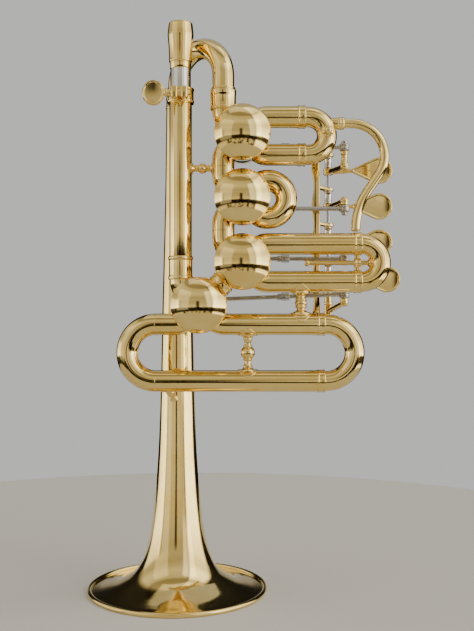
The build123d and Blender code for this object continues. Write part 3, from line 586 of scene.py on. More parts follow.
def block(bm, centre, size, softness):
    """A box with rounded edges."""
    part = bmesh.new()
    bmesh.ops.create_cube(part, size=1, matrix=Matrix.Diagonal((*size, 1)))
    soften(part, softness, segments=4)
    part.transform(Matrix.Translation(centre))
    join(bm, part)


def plate_round_discs(ends, axis, thickness, segments):
    """A flat plate that encloses its end discs; ends are (centre, radius)."""
    part = bmesh.new()
    for centre, radius in ends:
        bmesh.ops.create_cone(
            part, cap_ends=True, segments=segments, radius1=radius, radius2=radius, depth=thickness,
            matrix=place_along(centre, axis),
        )
    hull = bmesh.ops.convex_hull(part, input=part.verts[:])
    inside = only_verts(hull["geom_interior"] + hull["geom_unused"])
    bmesh.ops.delete(part, geom=inside, context="VERTS")
    bmesh.ops.dissolve_limit(part, angle_limit=radians(1), verts=part.verts[:], edges=part.edges[:])
    return part


def rounded_plate(bm, ends, axis, thickness, softness):
    part = plate_round_discs(ends, axis, thickness, 48)
    soften(part, softness)
    join(bm, part)


def slotted_head(bm, centre, axis, radius, height, slot):
    """A screw head with a driver's slot across it."""
    place = place_along(centre, axis)
    turned(bm, [(radius / MM, 0), (radius / MM, 0.45 * height / MM)], place, soft=False)
    for side in (-1, 1):
        half = bmesh.new()
        bmesh.ops.create_cone(
            half, cap_ends=True, segments=48, radius1=radius, radius2=0.93 * radius, depth=0.6 * height,
            matrix=Matrix.Translation((0, 0, 0.7 * height)),
        )
        trim(half, Vector((side * slot / 2, 0, 0)), Vector((side, 0, 0)))
        half.transform(place)
        join(bm, half)


def saddle_on(bm, foot, away, tube_axis, tube_radius, radius):
    """A thin round foot bent over a tube; foot is on the tube's axis, away points out of the tube."""
    thickness = 0.5 * MM
    part = bmesh.new()
    made = bmesh.ops.create_circle(part, cap_ends=True, segments=64, radius=radius)
    face = list({face for vert in made["verts"] for face in vert.link_faces})
    for _ in range(7):
        bmesh.ops.inset_region(
            part, faces=face, thickness=radius / 8, depth=0, use_boundary=True, use_even_offset=True
        )
    for vert in part.verts:
        vert.co.z = sqrt(max(tube_radius ** 2 - vert.co.y ** 2, 0)) - 0.03 * MM
    part.normal_update()
    for bent in part.faces:
        if bent.normal.z < 0:
            bent.normal_flip()
    bmesh.ops.solidify(part, geom=part.faces[:], thickness=-thickness)
    close_mesh(part)
    soften(part, 0.4 * thickness, radians(50))
    across = Vector(away).cross(Vector(tube_axis)).normalized()
    turn = Matrix((Vector(tube_axis).normalized(), across, Vector(away).normalized())).transposed()
    part.transform(Matrix.Translation(foot) @ turn.to_4x4())
    join(bm, part)


def post(bm, start, end, radius, ball_radius, collar):
    """A thin turned brace with a ball in its middle between two rings; collar is its radius at each end."""
    along = Vector(end) - Vector(start)
    half = along.length / 2 / MM
    step = ball_radius
    outline = [
        (collar, -half), (0.8 * collar, 0.7 - half), (1.15 * radius, 1.7 - half), (radius, -step - 0.9),
        (1.45 * radius, -step - 0.7), (1.45 * radius, -step - 0.1), (1.1 * radius, -step + 0.25),
    ]
    round_part = [
        (ball_radius * cos(radians(angle)), ball_radius * sin(radians(angle))) for angle in range(-60, 61, 10)
    ]
    mirrored = [(width, -height) for width, height in reversed(outline)]
    middle_point = (Vector(start) + Vector(end)) / 2
    turned(bm, outline + round_part + mirrored, place_along(middle_point, along))


def half_turned(half):
    """A whole baluster's outline from its lower half, which ends in the middle at height 0."""
    return half + [(radius, -height) for radius, height in reversed(half[:-1])]


# ---- Bell and bow ----

class MakeBell(bpy.types.Operator):
    """The bell: one thin flared sheet with a rolled bead round its rim"""
    bl_idname = "trumpet.make_bell"
    bl_label = "Make bell"

    def execute(self, context):
        wall = context.scene.trumpet_sizes.bell_wall / MM
        top = high("bell").z / MM
        rim = high("bell").x / MM
        outside = smooth_profile([
            (6.4, top), (7.05, 220), (8.5, 163), (9.7, 107), (11.0, 73), (14.0, 40),
            (17.6, 22.5), (23.5, 11), (33.0, 4.6), (42.0, 1.9), (rim - 2.55, 1.05),
        ])
        bead_radius = 1.35
        bead_height = 1.25
        bead = []
        for angle in range(170, -125, -10):
            height = bead_height + bead_radius * sin(radians(angle))
            bead.append((rim - bead_radius * (1 - cos(radians(angle))), max(height, 0)))
        inside = []
        for before, after in zip(outside, outside[1:]):
            run = Vector(after) - Vector(before)
            inside.append((before[0] + wall * run.y / run.length, before[1] - wall * run.x / run.length))
        bm = bmesh.new()
        lathe(
            bm, outside + bead + inside[::-1], Matrix.Identity(4),
            segments=context.scene.trumpet_sizes.bell_segments, closed=True, soft=False,
        )
        add_piece("bell_flare", bm, "bell", 40)
        return {"FINISHED"}


class MakeBow(bpy.types.Operator):
    """The bow over the top and the turned ring at each of its ends"""
    bl_idname = "trumpet.make_bow"
    bl_label = "Make bow"

    def execute(self, context):
        seat = low("bell_bow").z
        crown = high("bell_bow").z - 5.6 * MM
        bell_end = Vector((0, 0, seat))
        valve_end = Vector((MAIN_X, SLIDE_PLANE, seat))
        span = (valve_end - bell_end).length
        bm = bmesh.new()
        tube = Tube(bm, bell_end, AXIS_Z, 5.3 * MM)
        tube.run(crown - span / 2 - seat)
        tube.bend(valve_end - bell_end, RIGHT_ANGLE, span / 2, 5.6 * MM)
        tube.bend(-AXIS_Z, RIGHT_ANGLE, span / 2, 5.9 * MM)
        tube.run(tube.place.z - seat).close()
        add_piece("bow_tube", bm, "bell_bow")

        bm = bmesh.new()
        ring_part = bmesh.new()
        turned(ring_part, [
            (6.35, 264.4), (6.75, 264.6), (7.1, 265.0), (7.1, 265.9), (6.85, 266.2), (6.85, 272.4),
            (6.98, 272.7), (6.98, 274.9), (6.6, 275.5), (6.45, 276.6), (5.9, 276.8),
        ], Matrix.Translation((MAIN_X, SLIDE_PLANE, 0)))
        trim(ring_part, valve_centre(1) + Vector((-1, 0, 1)).normalized() * SOLDER_LINE, Vector((-1, 0, 1)))
        join(bm, ring_part)
        turned(bm, [
            (6.4, 270), (6.68, 270.4), (6.68, 271.2), (6.4, 271.5), (6.4, 275.4), (6.6, 275.8), (6.6, 276.5),
            (6.3, 276.9), (5.75, 281), (5.35, 281.5),
        ], Matrix.Identity(4))
        add_piece("bow_rings", bm, "bow_ferrules")
        return {"FINISHED"}


# ---- Leadpipe, tuning tube and clamp ----

def leadpipe_place(height=0):
    return Vector((LEADPIPE.x, LEADPIPE.y, height))


class MakeLeadpipe(bpy.types.Operator):
    """The leadpipe, its elbow into valve 4, the sleeves over its joints and the clamp at its mouth"""
    bl_idname = "trumpet.make_leadpipe"
    bl_label = "Make leadpipe"

    def execute(self, context):
        radius = (high("leadpipe").x - low("leadpipe").x) / 2
        foot = low("leadpipe").z
        mouth = high("leadpipe").z
        bm = bmesh.new()
        ring(bm, radius / MM, 5.55, foot / MM, mouth / MM, Matrix.Translation(leadpipe_place()))
        add_piece("leadpipe_tube", bm, "leadpipe")

        bm = bmesh.new()
        port_tube(bm, 4, -1, 1, AXIS_Z, foot, MAIN_RADIUS)
        add_piece("leadpipe_foot", bm, "leadpipe_elbow")

        bm = bmesh.new()
        sleeve = bmesh.new()
        turned(sleeve, [
            (6.3, 173.4), (6.6, 173.55), (6.75, 174), (6.75, 175.0), (6.6, 175.4), (6.38, 175.7),
            (6.38, 183.9), (6.6, 184.3), (6.75, 184.6), (6.75, 185.5), (6.55, 185.9), (6.15, 186.2),
        ], Matrix.Translation(leadpipe_place()))
        trim(sleeve, valve_centre(4) + Vector((-1, 0, 1)).normalized() * SOLDER_LINE, Vector((-1, 0, 1)))
        join(bm, sleeve)
        diagonal = (valve_centre(3) - valve_centre(4)).normalized()
        collar_place = place_along((valve_centre(3) + valve_centre(4)) / 2, diagonal)
        turned(bm, [
            (6.3, -2.2), (6.65, -2.1), (6.8, -1.7), (6.8, -1.2), (6.5, -0.9), (6.5, 0.9), (6.8, 1.2),
            (6.8, 1.7), (6.65, 2.1), (6.3, 2.2),
        ], collar_place)
        add_piece("joint_sleeves", bm, "joint_ferrules")

        self.make_clamp()
        return {"FINISHED"}

    def make_clamp(self):
        """A band with a gap in front, rolled at both edges, and an ear on each side of the gap."""
        bottom = low("clamp_ring").z
        top = high("clamp_ring").z
        outer = high("clamp_ring").x - LEADPIPE.x
        gap = 1.6 * MM
        opening = gap / outer
        bm = bmesh.new()
        band = bmesh.new()
        tall = top - bottom
        bore = 6.12 * MM
        section = [
            (bore, 0), (outer - 0.3 * MM, 0), (outer, 0.5 * MM), (outer, 1.2 * MM),
            (outer - 0.35 * MM, 1.6 * MM), (outer - 0.35 * MM, tall - 1.6 * MM), (outer, tall - 1.2 * MM),
            (outer, tall - 0.5 * MM), (outer - 0.3 * MM, tall), (bore, tall),
        ]
        corners = [band.verts.new((width, 0, height)) for width, height in section]
        face = band.faces.new(corners)
        first_turn = Matrix.Rotation(opening / 2 - RIGHT_ANGLE, 3, "Z")
        bmesh.ops.rotate(band, verts=corners, cent=(0, 0, 0), matrix=first_turn)
        edges = face.edges[:]
        swept = bmesh.ops.spin(
            band, geom=corners + edges, cent=(0, 0, 0), axis=AXIS_Z, dvec=(0, 0, 0),
            angle=2 * pi - opening, steps=sizes().ring_segments, use_merge=False,
        )
        fill_loop(band, swept["geom_last"])
        band.transform(Matrix.Translation(leadpipe_place(bottom)))
        join(bm, band)
        screw = Vector(JOINTS["clamp_screw_turn"]["pos_m"])
        front = low("clamp_ring").y
        depth = LEADPIPE.y - 6.3 * MM - front
        for side in (-1, 1):
            centre = Vector((LEADPIPE.x + side * (gap / 2 + 1.8 * MM), front + depth / 2, screw.z))
            block(bm, centre, (3.4 * MM, depth, 6.6 * MM), 0.9 * MM)
            boss = Vector((centre.x + side * 1.4 * MM, screw.y, screw.z))
            turned(bm, [(2.5, -0.4), (2.5, 0.5), (2.1, 0.75)], place_along(boss, AXIS_X * side))
        add_piece("clamp_band", bm, "clamp_ring")

        bm = bmesh.new()
        plate_centre = Vector((low("thumb_screw").x + 6 * MM, screw.y, screw.z))
        grip = bmesh.new()
        half_depth = 0.8
        lathe(grip, [
            (0, half_depth - 0.45), (4.6, half_depth - 0.4), (5.15, half_depth - 0.1), (5.55, half_depth),
            (5.85, 0.45), (6.0, 0), (5.85, -0.45), (5.55, -half_depth), (5.15, 0.1 - half_depth),
            (4.6, 0.4 - half_depth), (0, 0.45 - half_depth),
        ], Matrix.Identity(4))
        bmesh.ops.scale(grip, vec=(1, 6.8 / 6.0, 1), verts=grip.verts[:])
        grip.transform(place_along(plate_centre, -AXIS_Y))
        join(bm, grip)
        turned(bm, [
            (1.0, 4.9), (1.35, 5.4), (1.5, 5.9), (2.0, 6.1), (2.3, 6.5), (2.3, 7.2), (1.8, 7.5), (1.8, 8.0),
            (2.3, 8.3), (2.3, 9.0), (2.0, 9.3), (1.5, 9.4), (1.5, 18.8), (1.2, 19.2),
        ], place_along(plate_centre, AXIS_X))
        add_piece("clamp_thumb_screw", bm, "thumb_screw")


class MakeTuning(bpy.types.Operator):
    """The sliding tuning tube and the mouthpiece receiver on its end"""
    bl_idname = "trumpet.make_tuning"
    bl_label = "Make tuning tube and receiver"

    def execute(self, context):
        bottom = low("tuning_tube").z / MM
        top = high("tuning_tube").z / MM
        socket = MOUNTS["mouthpiece_socket"]["dims"]["r_mm"]
        bm = bmesh.new()
        ring(bm, 5.5, 4.7, bottom, top, Matrix.Translation(leadpipe_place()))
        add_piece("tuning_tube_grey", bm, "tuning_tube")

        lip = high("receiver").z / MM
        depth = MOUNTS["mouthpiece_socket"]["dims"]["length_mm"]
        bm = bmesh.new()
        outside = [(5.6, top), (5.75, top + 0.3), (5.8, 289.9), (5.95, 290.15), (6.25, 290.3), (6.3, 290.8)]
        outside += smooth_profile([
            (6.25, 291.3), (6.3, 295), (6.5, 299), (6.85, 302.6), (7.0, 304.9), (6.85, 307.2),
        ], 5)
        outside += [
            (6.72, 308.2), (6.62, 309.2), (6.5, 310.3), (6.3, 311.0), (5.95, 311.4), (5.6, lip),
            (5.15, lip - 0.25),
        ]
        shank = socket - 0.6
        inside = [(socket, lip - 0.9), (socket, lip - depth), (shank, lip - depth - 0.2), (shank, top)]
        lathe(bm, outside + inside, Matrix.Translation(leadpipe_place()), closed=True)
        add_piece("mouthpiece_receiver", bm, "receiver")
        return {"FINISHED"}


# ---- Valves ----

class MakeValves(bpy.types.Operator):
    """Four casings, their domed caps, and the stop arms behind them"""
    bl_idname = "trumpet.make_valves"
    bl_label = "Make valves"

    def execute(self, context):
        caps = bmesh.new()
        for number in VALVE_NUMBERS:
            self.add_cap(caps, number)
            self.make_casing(number)
            self.make_stop_arm(number)
        add_piece("valve_cap_domes", caps, "valve_caps")
        return {"FINISHED"}

    def add_cap(self, bm, number):
        """Skirt, edge and hollow dome, drawn along the valve's axis towards the front."""
        centre = valve_centre(number)
        apex = -low("valve_caps").y / MM
        skirt = -high("valve_caps").y / MM
        radius = (high("valve_caps").z - valve_centre(1).z) / MM
        edge = 36.0
        sag = apex - edge
        dome = (radius ** 2 + sag ** 2) / (2 * sag)
        steps = 26
        opening = radius / dome
        outside = []
        for step in range(steps + 1):
            across = opening * (1 - step / steps)
            outside.append((dome * across, apex - dome + dome * sqrt(1 - across ** 2)))
        bore = 13.42
        profile = [(bore, skirt), (radius - 0.45, skirt), (radius - 0.1, skirt + 0.35)]
        profile += [(radius - 0.1, edge - 0.9), (radius, edge - 0.6)] + outside
        profile += [(0, edge + 3.4), (6, edge + 2.7), (11.7, edge), (bore, edge)]
        place = place_along(Vector((centre.x, 0, centre.z)), -AXIS_Y)
        lathe(bm, profile, place, segments=112, closed=True)

    def make_casing(self, number):
        """Open barrel with a floor and a raised ring round the bearing."""
        node = f"valve_casing_{number}"
        centre = valve_centre(number)
        front = low(node).y / MM
        back = high(node).y / MM
        radius = CASING_RADIUS / MM
        place = place_along(Vector((centre.x, 0, centre.z)), AXIS_Y)
        bm = bmesh.new()
        lathe(bm, [
            (11.85, front), (radius, front), (radius, back - 0.9), (radius - 0.35, back - 0.35),
            (radius - 0.9, back), (6.6, back), (6.4, back - 0.3), (6.0, back - 0.3), (5.8, back),
            (3.08, back), (3.08, back - 1.6), (11.85, back - 1.6),
        ], place, segments=112, closed=True)
        add_piece(f"casing_{number}", bm, node)

    def make_stop_arm(self, number):
        """Plate on the rotor's tail with its pin, its lug and two screws."""
        node = f"stop_arm_{number}"
        centre = valve_centre(number)
        up = -1 if number < 3 else 1
        plate_front = low(node).y
        plate_back = -10.6 * MM
        level = (plate_front + plate_back) / 2
        hub = Vector((centre.x, level, centre.z))
        pin = hub + Vector((-STOP_PIN_SHIFT, 0, STOP_PIN_SHIFT * up))
        lug = hub + Vector((1, 0, -up)).normalized() * 8.6 * MM
        thickness = plate_back - plate_front
        bm = bmesh.new()
        rounded_plate(bm, [(hub, 3.8 * MM), (pin, 2.0 * MM)], AXIS_Y, thickness, 0.2 * MM)
        rounded_plate(bm, [(hub, 2.6 * MM), (lug, 1.1 * MM)], AXIS_Y, thickness * 0.96, 0.2 * MM)
        back = high(node).y
        pin_root = Vector((pin.x, plate_back - 0.2 * MM, pin.z))
        straight(bm, pin_root, Vector((pin.x, back - 0.5 * MM, pin.z)), 1.2 * MM)
        slotted_head(bm, Vector((pin.x, back - 0.7 * MM, pin.z)), AXIS_Y, 1.9 * MM, 0.7 * MM, 0.5 * MM)
        slotted_head(bm, Vector((hub.x, plate_back - 0.1 * MM, hub.z)), AXIS_Y, 2.3 * MM, 0.75 * MM, 0.6 * MM)
        add_piece(f"stop_arm_plate_{number}", bm, node)


# ---- Tubes between the valves ----

class MakeLinks(bpy.types.Operator):
    """The tubes that join valve to valve, and the outlet up to the bow"""
    bl_idname = "trumpet.make_links"
    bl_label = "Make tubes between valves"

    def execute(self, context):
        bm = bmesh.new()
        for lower, upper in ((3, 2), (2, 1)):
            level = (valve_centre(lower).z + valve_centre(upper).z) / 2
            port_tube(bm, lower, -1, 1, AXIS_Z, level + JOINT_LAP, MAIN_RADIUS)
            port_tube(bm, upper, -1, -1, -AXIS_Z, level, MAIN_RADIUS)
        add_piece("valve_link_tubes", bm, "valve_links")

        bm = bmesh.new()
        along = (valve_centre(3) - valve_centre(4)).normalized()
        seam = along * SOLDER_LINE
        straight(bm, valve_centre(4) + seam, valve_centre(3) - seam, MAIN_RADIUS)
        add_piece("diagonal_tube", bm, "diagonal_link")

        bm = bmesh.new()
        port_tube(bm, 1, -1, 1, AXIS_Z, high("valve_outlet").z, MAIN_RADIUS)
        add_piece("outlet_tube", bm, "valve_outlet")
        return {"FINISHED"}


# ---- Slides ----

SLIDE_4_TOP = valve_centre(4).z - PORT_OFFSET
SLIDE_4_BOTTOM = low("slide_4_tubes").z + SLIDE_RADIUS
SLIDE_BORE = 5.44 * MM


def slide_legs(number):
    """Heights of a slide's upper and lower leg."""
    if number == 4:
        return SLIDE_4_TOP, SLIDE_4_BOTTOM
    return valve_centre(number).z + PORT_OFFSET, valve_centre(number).z - PORT_OFFSET


def mouth(number):
    """Where a slide's outer tubes end."""
    return high(f"slide_{number}_tubes").x


def bend_centre(number):
    """Where the half turn at a slide's far end is centred."""
    top, bottom = slide_legs(number)
    return high(f"slide_{number}_crook").x - CROOK_RADIUS - (top - bottom) / 2


def leg_depth(number):
    """How deep the bore of an outer tube is drawn, a little past the inner leg's end."""
    return mouth(number) - low(f"slide_{number}_crook").x + 1.5 * MM


class MakeSlides(bpy.types.Operator):
    """The fixed outer tubes of the slides, valve 2's closed loop and the ring at each mouth"""
    bl_idname = "trumpet.make_slides"
    bl_label = "Make slide tubes"

    def execute(self, context):
        for number in (1, 3):
            bm = bmesh.new()
            for up in (1, -1):
                port_tube(
                    bm, number, 1, up, AXIS_X, mouth(number), SLIDE_RADIUS, SLIDE_BORE, leg_depth(number)
                )
            add_piece(f"slide_{number}_outer", bm, f"slide_{number}_tubes")

        bm = bmesh.new()
        port_tube(bm, 4, 1, -1, AXIS_X, mouth(4), SLIDE_RADIUS, SLIDE_BORE, leg_depth(4))
        lower = Tube(bm, (low("slide_4_tubes").x, SLIDE_PLANE, SLIDE_4_BOTTOM), AXIS_X, SLIDE_RADIUS)
        lower.run(mouth(4) - low("slide_4_tubes").x)
        open_mouth(lower, SLIDE_BORE, leg_depth(4))
        add_piece("slide_4_outer", bm, "slide_4_tubes")

        self.make_return_bow()
        self.make_loop()
        self.make_rings()
        return {"FINISHED"}

    def make_return_bow(self):
        """Valve 4's tube to the left and its half turn, with a fine solder line where that starts."""
        top, bottom = slide_legs(4)
        start = low("slide_4_tubes").x
        bm = bmesh.new()
        port_tube(bm, 4, -1, -1, -AXIS_X, start - JOINT_LAP, SLIDE_RADIUS)
        turn = (top - bottom) / 2
        half_turn = Tube(bm, (start, SLIDE_PLANE, top), -AXIS_X, SLIDE_RADIUS)
        half_turn.bend(-AXIS_Z, RIGHT_ANGLE, turn).bend(AXIS_X, RIGHT_ANGLE, turn).close()
        for level in (top, bottom):
            turned(
                bm, [(5.78, -0.22), (5.87, -0.12), (5.87, 0.12), (5.78, 0.22)],
                place_along(Vector((start, SLIDE_PLANE, level)), AXIS_X), soft=False,
            )
        add_piece("slide_4_half_turn", bm, "slide_4_return_bow")

    def make_loop(self):
        """Valve 2's loop, closed and too short to slide."""
        top = slide_legs(2)[0]
        centre = high("slide_2_bow").x - SLIDE_RADIUS - PORT_OFFSET
        bm = bmesh.new()
        for up in (1, -1):
            port_tube(bm, 2, 1, up, AXIS_X, centre + JOINT_LAP, SLIDE_RADIUS)
        loop = Tube(bm, (centre, SLIDE_PLANE, top), AXIS_X, SLIDE_RADIUS)
        loop.bend(-AXIS_Z, RIGHT_ANGLE, PORT_OFFSET).bend(-AXIS_X, RIGHT_ANGLE, PORT_OFFSET).close()
        add_piece("valve_2_loop", bm, "slide_2_bow")

    def make_rings(self):
        """A stepped ring round each mouth, with a bead at either end."""
        bm = bmesh.new()
        for number in (1, 3, 4):
            for level in slide_legs(number):
                place = place_along(Vector((mouth(number), SLIDE_PLANE, level)), AXIS_X)
                lathe(bm, [
                    (5.82, -4.3), (6.05, -4.25), (6.25, -3.95), (6.25, -3.65), (6.08, -3.35), (6.05, -1.2),
                    (6.2, -1.05), (6.25, -0.8), (6.25, -0.45), (6.1, -0.1), (5.82, 0),
                ], place, closed=True)
        add_piece("slide_mouth_rings", bm, "slide_ferrules")


class MakeCrooks(bpy.types.Operator):
    """The sliding crooks with what each one carries"""
    bl_idname = "trumpet.make_crooks"
    bl_label = "Make crooks"

    def execute(self, context):
        for number in (1, 3, 4):
            self.make_crook(number)
        self.make_knob()
        self.make_grip_rod()
        self.make_stop_rod()
        return {"FINISHED"}

    def make_crook(self, number):
        top, bottom = slide_legs(number)
        turn = (top - bottom) / 2
        start = low(f"slide_{number}_crook").x
        bm = bmesh.new()
        tube = Tube(bm, (start, SLIDE_PLANE, top), AXIS_X, CROOK_RADIUS)
        tube.run(bend_centre(number) - start)
        tube.bend(-AXIS_Z, RIGHT_ANGLE, turn).bend(-AXIS_X, RIGHT_ANGLE, turn)
        tube.run(bend_centre(number) - start).close()
        add_piece(f"crook_{number}_tube", bm, f"slide_{number}_crook")

    def make_knob(self):
        box_low, box_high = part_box("slide_1_knob")
        centre = (box_low + box_high) / 2
        front = (SLIDE_PLANE - box_low.y) / MM
        bm = bmesh.new()
        turned(bm, [
            (2.9, 4.1), (3.2, 4.6), (3.2, 5.7), (2.85, 6.2), (2.2, 6.5), (1.25, 6.8), (1.2, 7.2), (1.2, 7.6),
        ], place_along(Vector((centre.x, SLIDE_PLANE, centre.z)), -AXIS_Y))
        ball(bm, Vector((centre.x, SLIDE_PLANE - (front - 2.1) * MM, centre.z)), 2.1 * MM)
        add_piece("crook_1_knob", bm, "slide_1_knob")

    def make_grip_rod(self):
        """The curved rod that crook 1 is drawn by, with a stepped socket where it leaves the crook."""
        box_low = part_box("slide_1_grip_rod")[0]
        radius = 2.5
        height = 257.5 * MM
        corner = 128.2 * MM
        foot = 97.3 * MM
        bm = bmesh.new()
        bar = filleted_bar(bm, [
            (80 * MM, SLIDE_PLANE, height), (corner, SLIDE_PLANE, height),
            (foot, SLIDE_PLANE, 211.7 * MM), (foot, SLIDE_PLANE, box_low.z + 0.9 * MM),
        ], [17.5 * MM, 35 * MM], radius * MM)
        bar.run(0.6 * MM, 0.88 * radius * MM).run(0.3 * MM, 0.55 * radius * MM).close()
        turned(bm, [
            (2.8, 80.2), (3.0, 84), (3.0, 87.4), (3.15, 87.7), (3.4, 88.1), (3.4, 88.9), (3.15, 89.15),
            (3.15, 89.45), (3.4, 89.7), (3.4, 90.4), (3.1, 90.9), (2.55, 91.2),
        ], place_along(Vector((0, SLIDE_PLANE, height)), AXIS_X))
        add_piece("crook_1_curved_rod", bm, "slide_1_grip_rod")

    def make_stop_rod(self):
        centre = valve_centre(3)
        start = low("slide_3_stop_rod").x
        far = bend_centre(3) + PORT_OFFSET - 4.6 * MM
        place = place_along(Vector((start, SLIDE_PLANE, centre.z)), AXIS_X)
        length = (far - start) / MM
        bm = bmesh.new()
        turned(bm, [
            (1.5, 0), (1.9, 0.4), (1.9, 1.6), (1.6, 2.0), (1.2, 2.1), (1.2, length - 2.6),
            (1.9, length - 2.2), (2.4, length - 1.6), (2.4, length),
        ], place)
        add_piece("crook_3_stop_rod", bm, "slide_3_stop_rod")


# ---- Braces ----

class MakeBraces(bpy.types.Operator):
    """Turned braces and balusters between the tubes, each with a foot bent over its tube"""
    bl_idname = "trumpet.make_braces"
    bl_label = "Make braces"

    def execute(self, context):
        self.make_leadpipe_brace()
        self.make_bell_braces()
        self.make_slide_4_brace()
        self.make_brace_34()
        self.make_bridge()
        return {"FINISHED"}

    def make_leadpipe_brace(self):
        height = middle("leadpipe_brace").z
        left = Vector((LEADPIPE.x, SLIDE_PLANE, height))
        right = Vector((MAIN_X, SLIDE_PLANE, height))
        bm = bmesh.new()
        post(bm, left + AXIS_X * LEADPIPE_RADIUS, right - AXIS_X * 5.8 * MM, 1.3, 2.75, 2.4)
        saddle_on(bm, left, AXIS_X, AXIS_Z, LEADPIPE_RADIUS, 3.1 * MM)
        saddle_on(bm, right, -AXIS_X, AXIS_Z, MAIN_RADIUS, 3.1 * MM)
        add_piece("leadpipe_brace_ball", bm, "leadpipe_brace")

    def make_bell_braces(self):
        bm = bmesh.new()
        leg = Vector((-4.7 * MM, SLIDE_PLANE, SLIDE_4_BOTTOM))
        bell_foot = Vector((-1.3, -9.6, 108.6)) * MM
        away = (bell_foot - leg).normalized()
        away = (away - AXIS_X * away.x).normalized()
        post(bm, leg + away * 5.9 * MM, bell_foot, 1.3, 2.3, 2.6)
        saddle_on(bm, leg, away, AXIS_X, SLIDE_RADIUS, 4.4 * MM)
        high_foot = Vector((LEADPIPE.x, LEADPIPE.y, high("bell_braces").z - 3.1 * MM))
        bell_side = Vector((0.8 * MM, -7.2 * MM, high_foot.z))
        out = (bell_side - high_foot).normalized()
        post(bm, high_foot + out * LEADPIPE_RADIUS, bell_side, 1.3, 2.2, 2.4)
        saddle_on(bm, high_foot, out, AXIS_Z, LEADPIPE_RADIUS, 3.0 * MM)
        add_piece("bell_brace_posts", bm, "bell_braces")

    def make_slide_4_brace(self):
        x = middle("slide_4_brace").x
        centre = Vector((x, SLIDE_PLANE, (SLIDE_4_TOP + SLIDE_4_BOTTOM) / 2))
        reach = (SLIDE_4_TOP - SLIDE_4_BOTTOM) / 2 / MM - SLIDE_RADIUS / MM
        half = [
            (3.9, -reach - 0.4), (3.6, 0.35 - reach), (2.9, 0.9 - reach), (2.35, 1.5 - reach),
            (2.5, 2.2 - reach), (2.2, 2.7 - reach), (1.8, 3.5 - reach), (1.62, -4.7), (1.7, -4.3),
            (2.35, -4.05), (2.45, -3.5), (2.15, -3.1), (2.7, -2.6), (3.35, -1.9), (3.7, -1.0), (3.75, 0),
        ]
        bm = bmesh.new()
        turned(bm, half_turned(half), Matrix.Translation(centre))
        for level, away in ((SLIDE_4_TOP, -AXIS_Z), (SLIDE_4_BOTTOM, AXIS_Z)):
            saddle_on(bm, Vector((x, SLIDE_PLANE, level)), away, AXIS_X, SLIDE_RADIUS, 5.4 * MM)
        add_piece("slide_4_baluster", bm, "slide_4_brace")

    def make_brace_34(self):
        x = middle("slide_brace_34").x
        top_leg = slide_legs(3)[1]
        centre = Vector((x, SLIDE_PLANE, (top_leg + SLIDE_4_TOP) / 2))
        half = [
            (4.6, -6.6), (4.9, -5.9), (4.7, -5.2), (3.7, -4.7), (2.6, -4.2), (2.2, -3.6), (2.2, -2.9),
            (2.8, -2.6), (3.1, -2.0), (2.9, -1.5), (2.7, -1.2), (3.2, -0.7), (3.3, 0),
        ]
        bm = bmesh.new()
        turned(bm, half_turned(half), Matrix.Translation(centre))
        for level, away in ((top_leg, -AXIS_Z), (SLIDE_4_TOP, AXIS_Z)):
            saddle_on(bm, Vector((x, SLIDE_PLANE, level)), away, AXIS_X, SLIDE_RADIUS, 5.7 * MM)
        add_piece("slide_spool", bm, "slide_brace_34")

    def make_bridge(self):
        """Cross bar between the mouths of slide 3, with a boss for the stop rod."""
        centre = valve_centre(3)
        front = low("slide_3_bridge").x
        reach = PORT_OFFSET - 5.9 * MM
        bm = bmesh.new()
        for side in (-1, 1):
            start = Vector((front + 1.8 * MM, SLIDE_PLANE, centre.z + side * 2.2 * MM))
            length = reach - 2.2 * MM
            size = (3.0 * MM, 3.4 * MM, length + 0.6 * MM)
            block(bm, start + AXIS_Z * side * length / 2, size, 0.5 * MM)
        lathe(bm, [
            (1.26, 0), (2.4, 0), (2.8, 0.4), (2.8, 1.0), (2.5, 1.3), (2.5, 2.3), (2.8, 2.6), (2.8, 3.2),
            (2.4, 3.6), (1.26, 3.6),
        ], place_along(Vector((front, SLIDE_PLANE, centre.z)), AXIS_X), closed=True)
        add_piece("slide_3_bridge_bar", bm, "slide_3_bridge")


# ---- Levers and linkage ----

LEVER_HEIGHTS = [low("lever_1").z + PADDLE_RADIUS]
LEVER_HEIGHTS += [high(f"lever_{number}").z - PADDLE_RADIUS for number in (2, 3, 4)]
LINK_ARM_DROPS = [0, 1.35, 0, -13.6]
LUG_HEIGHTS = [246.6, 226.8, 206.3, 185.6, 152.4]
LEVER_4_FOOT = 156.8 * MM


def axle_point(height):
    return Vector((AXLE.x, AXLE.y, height))


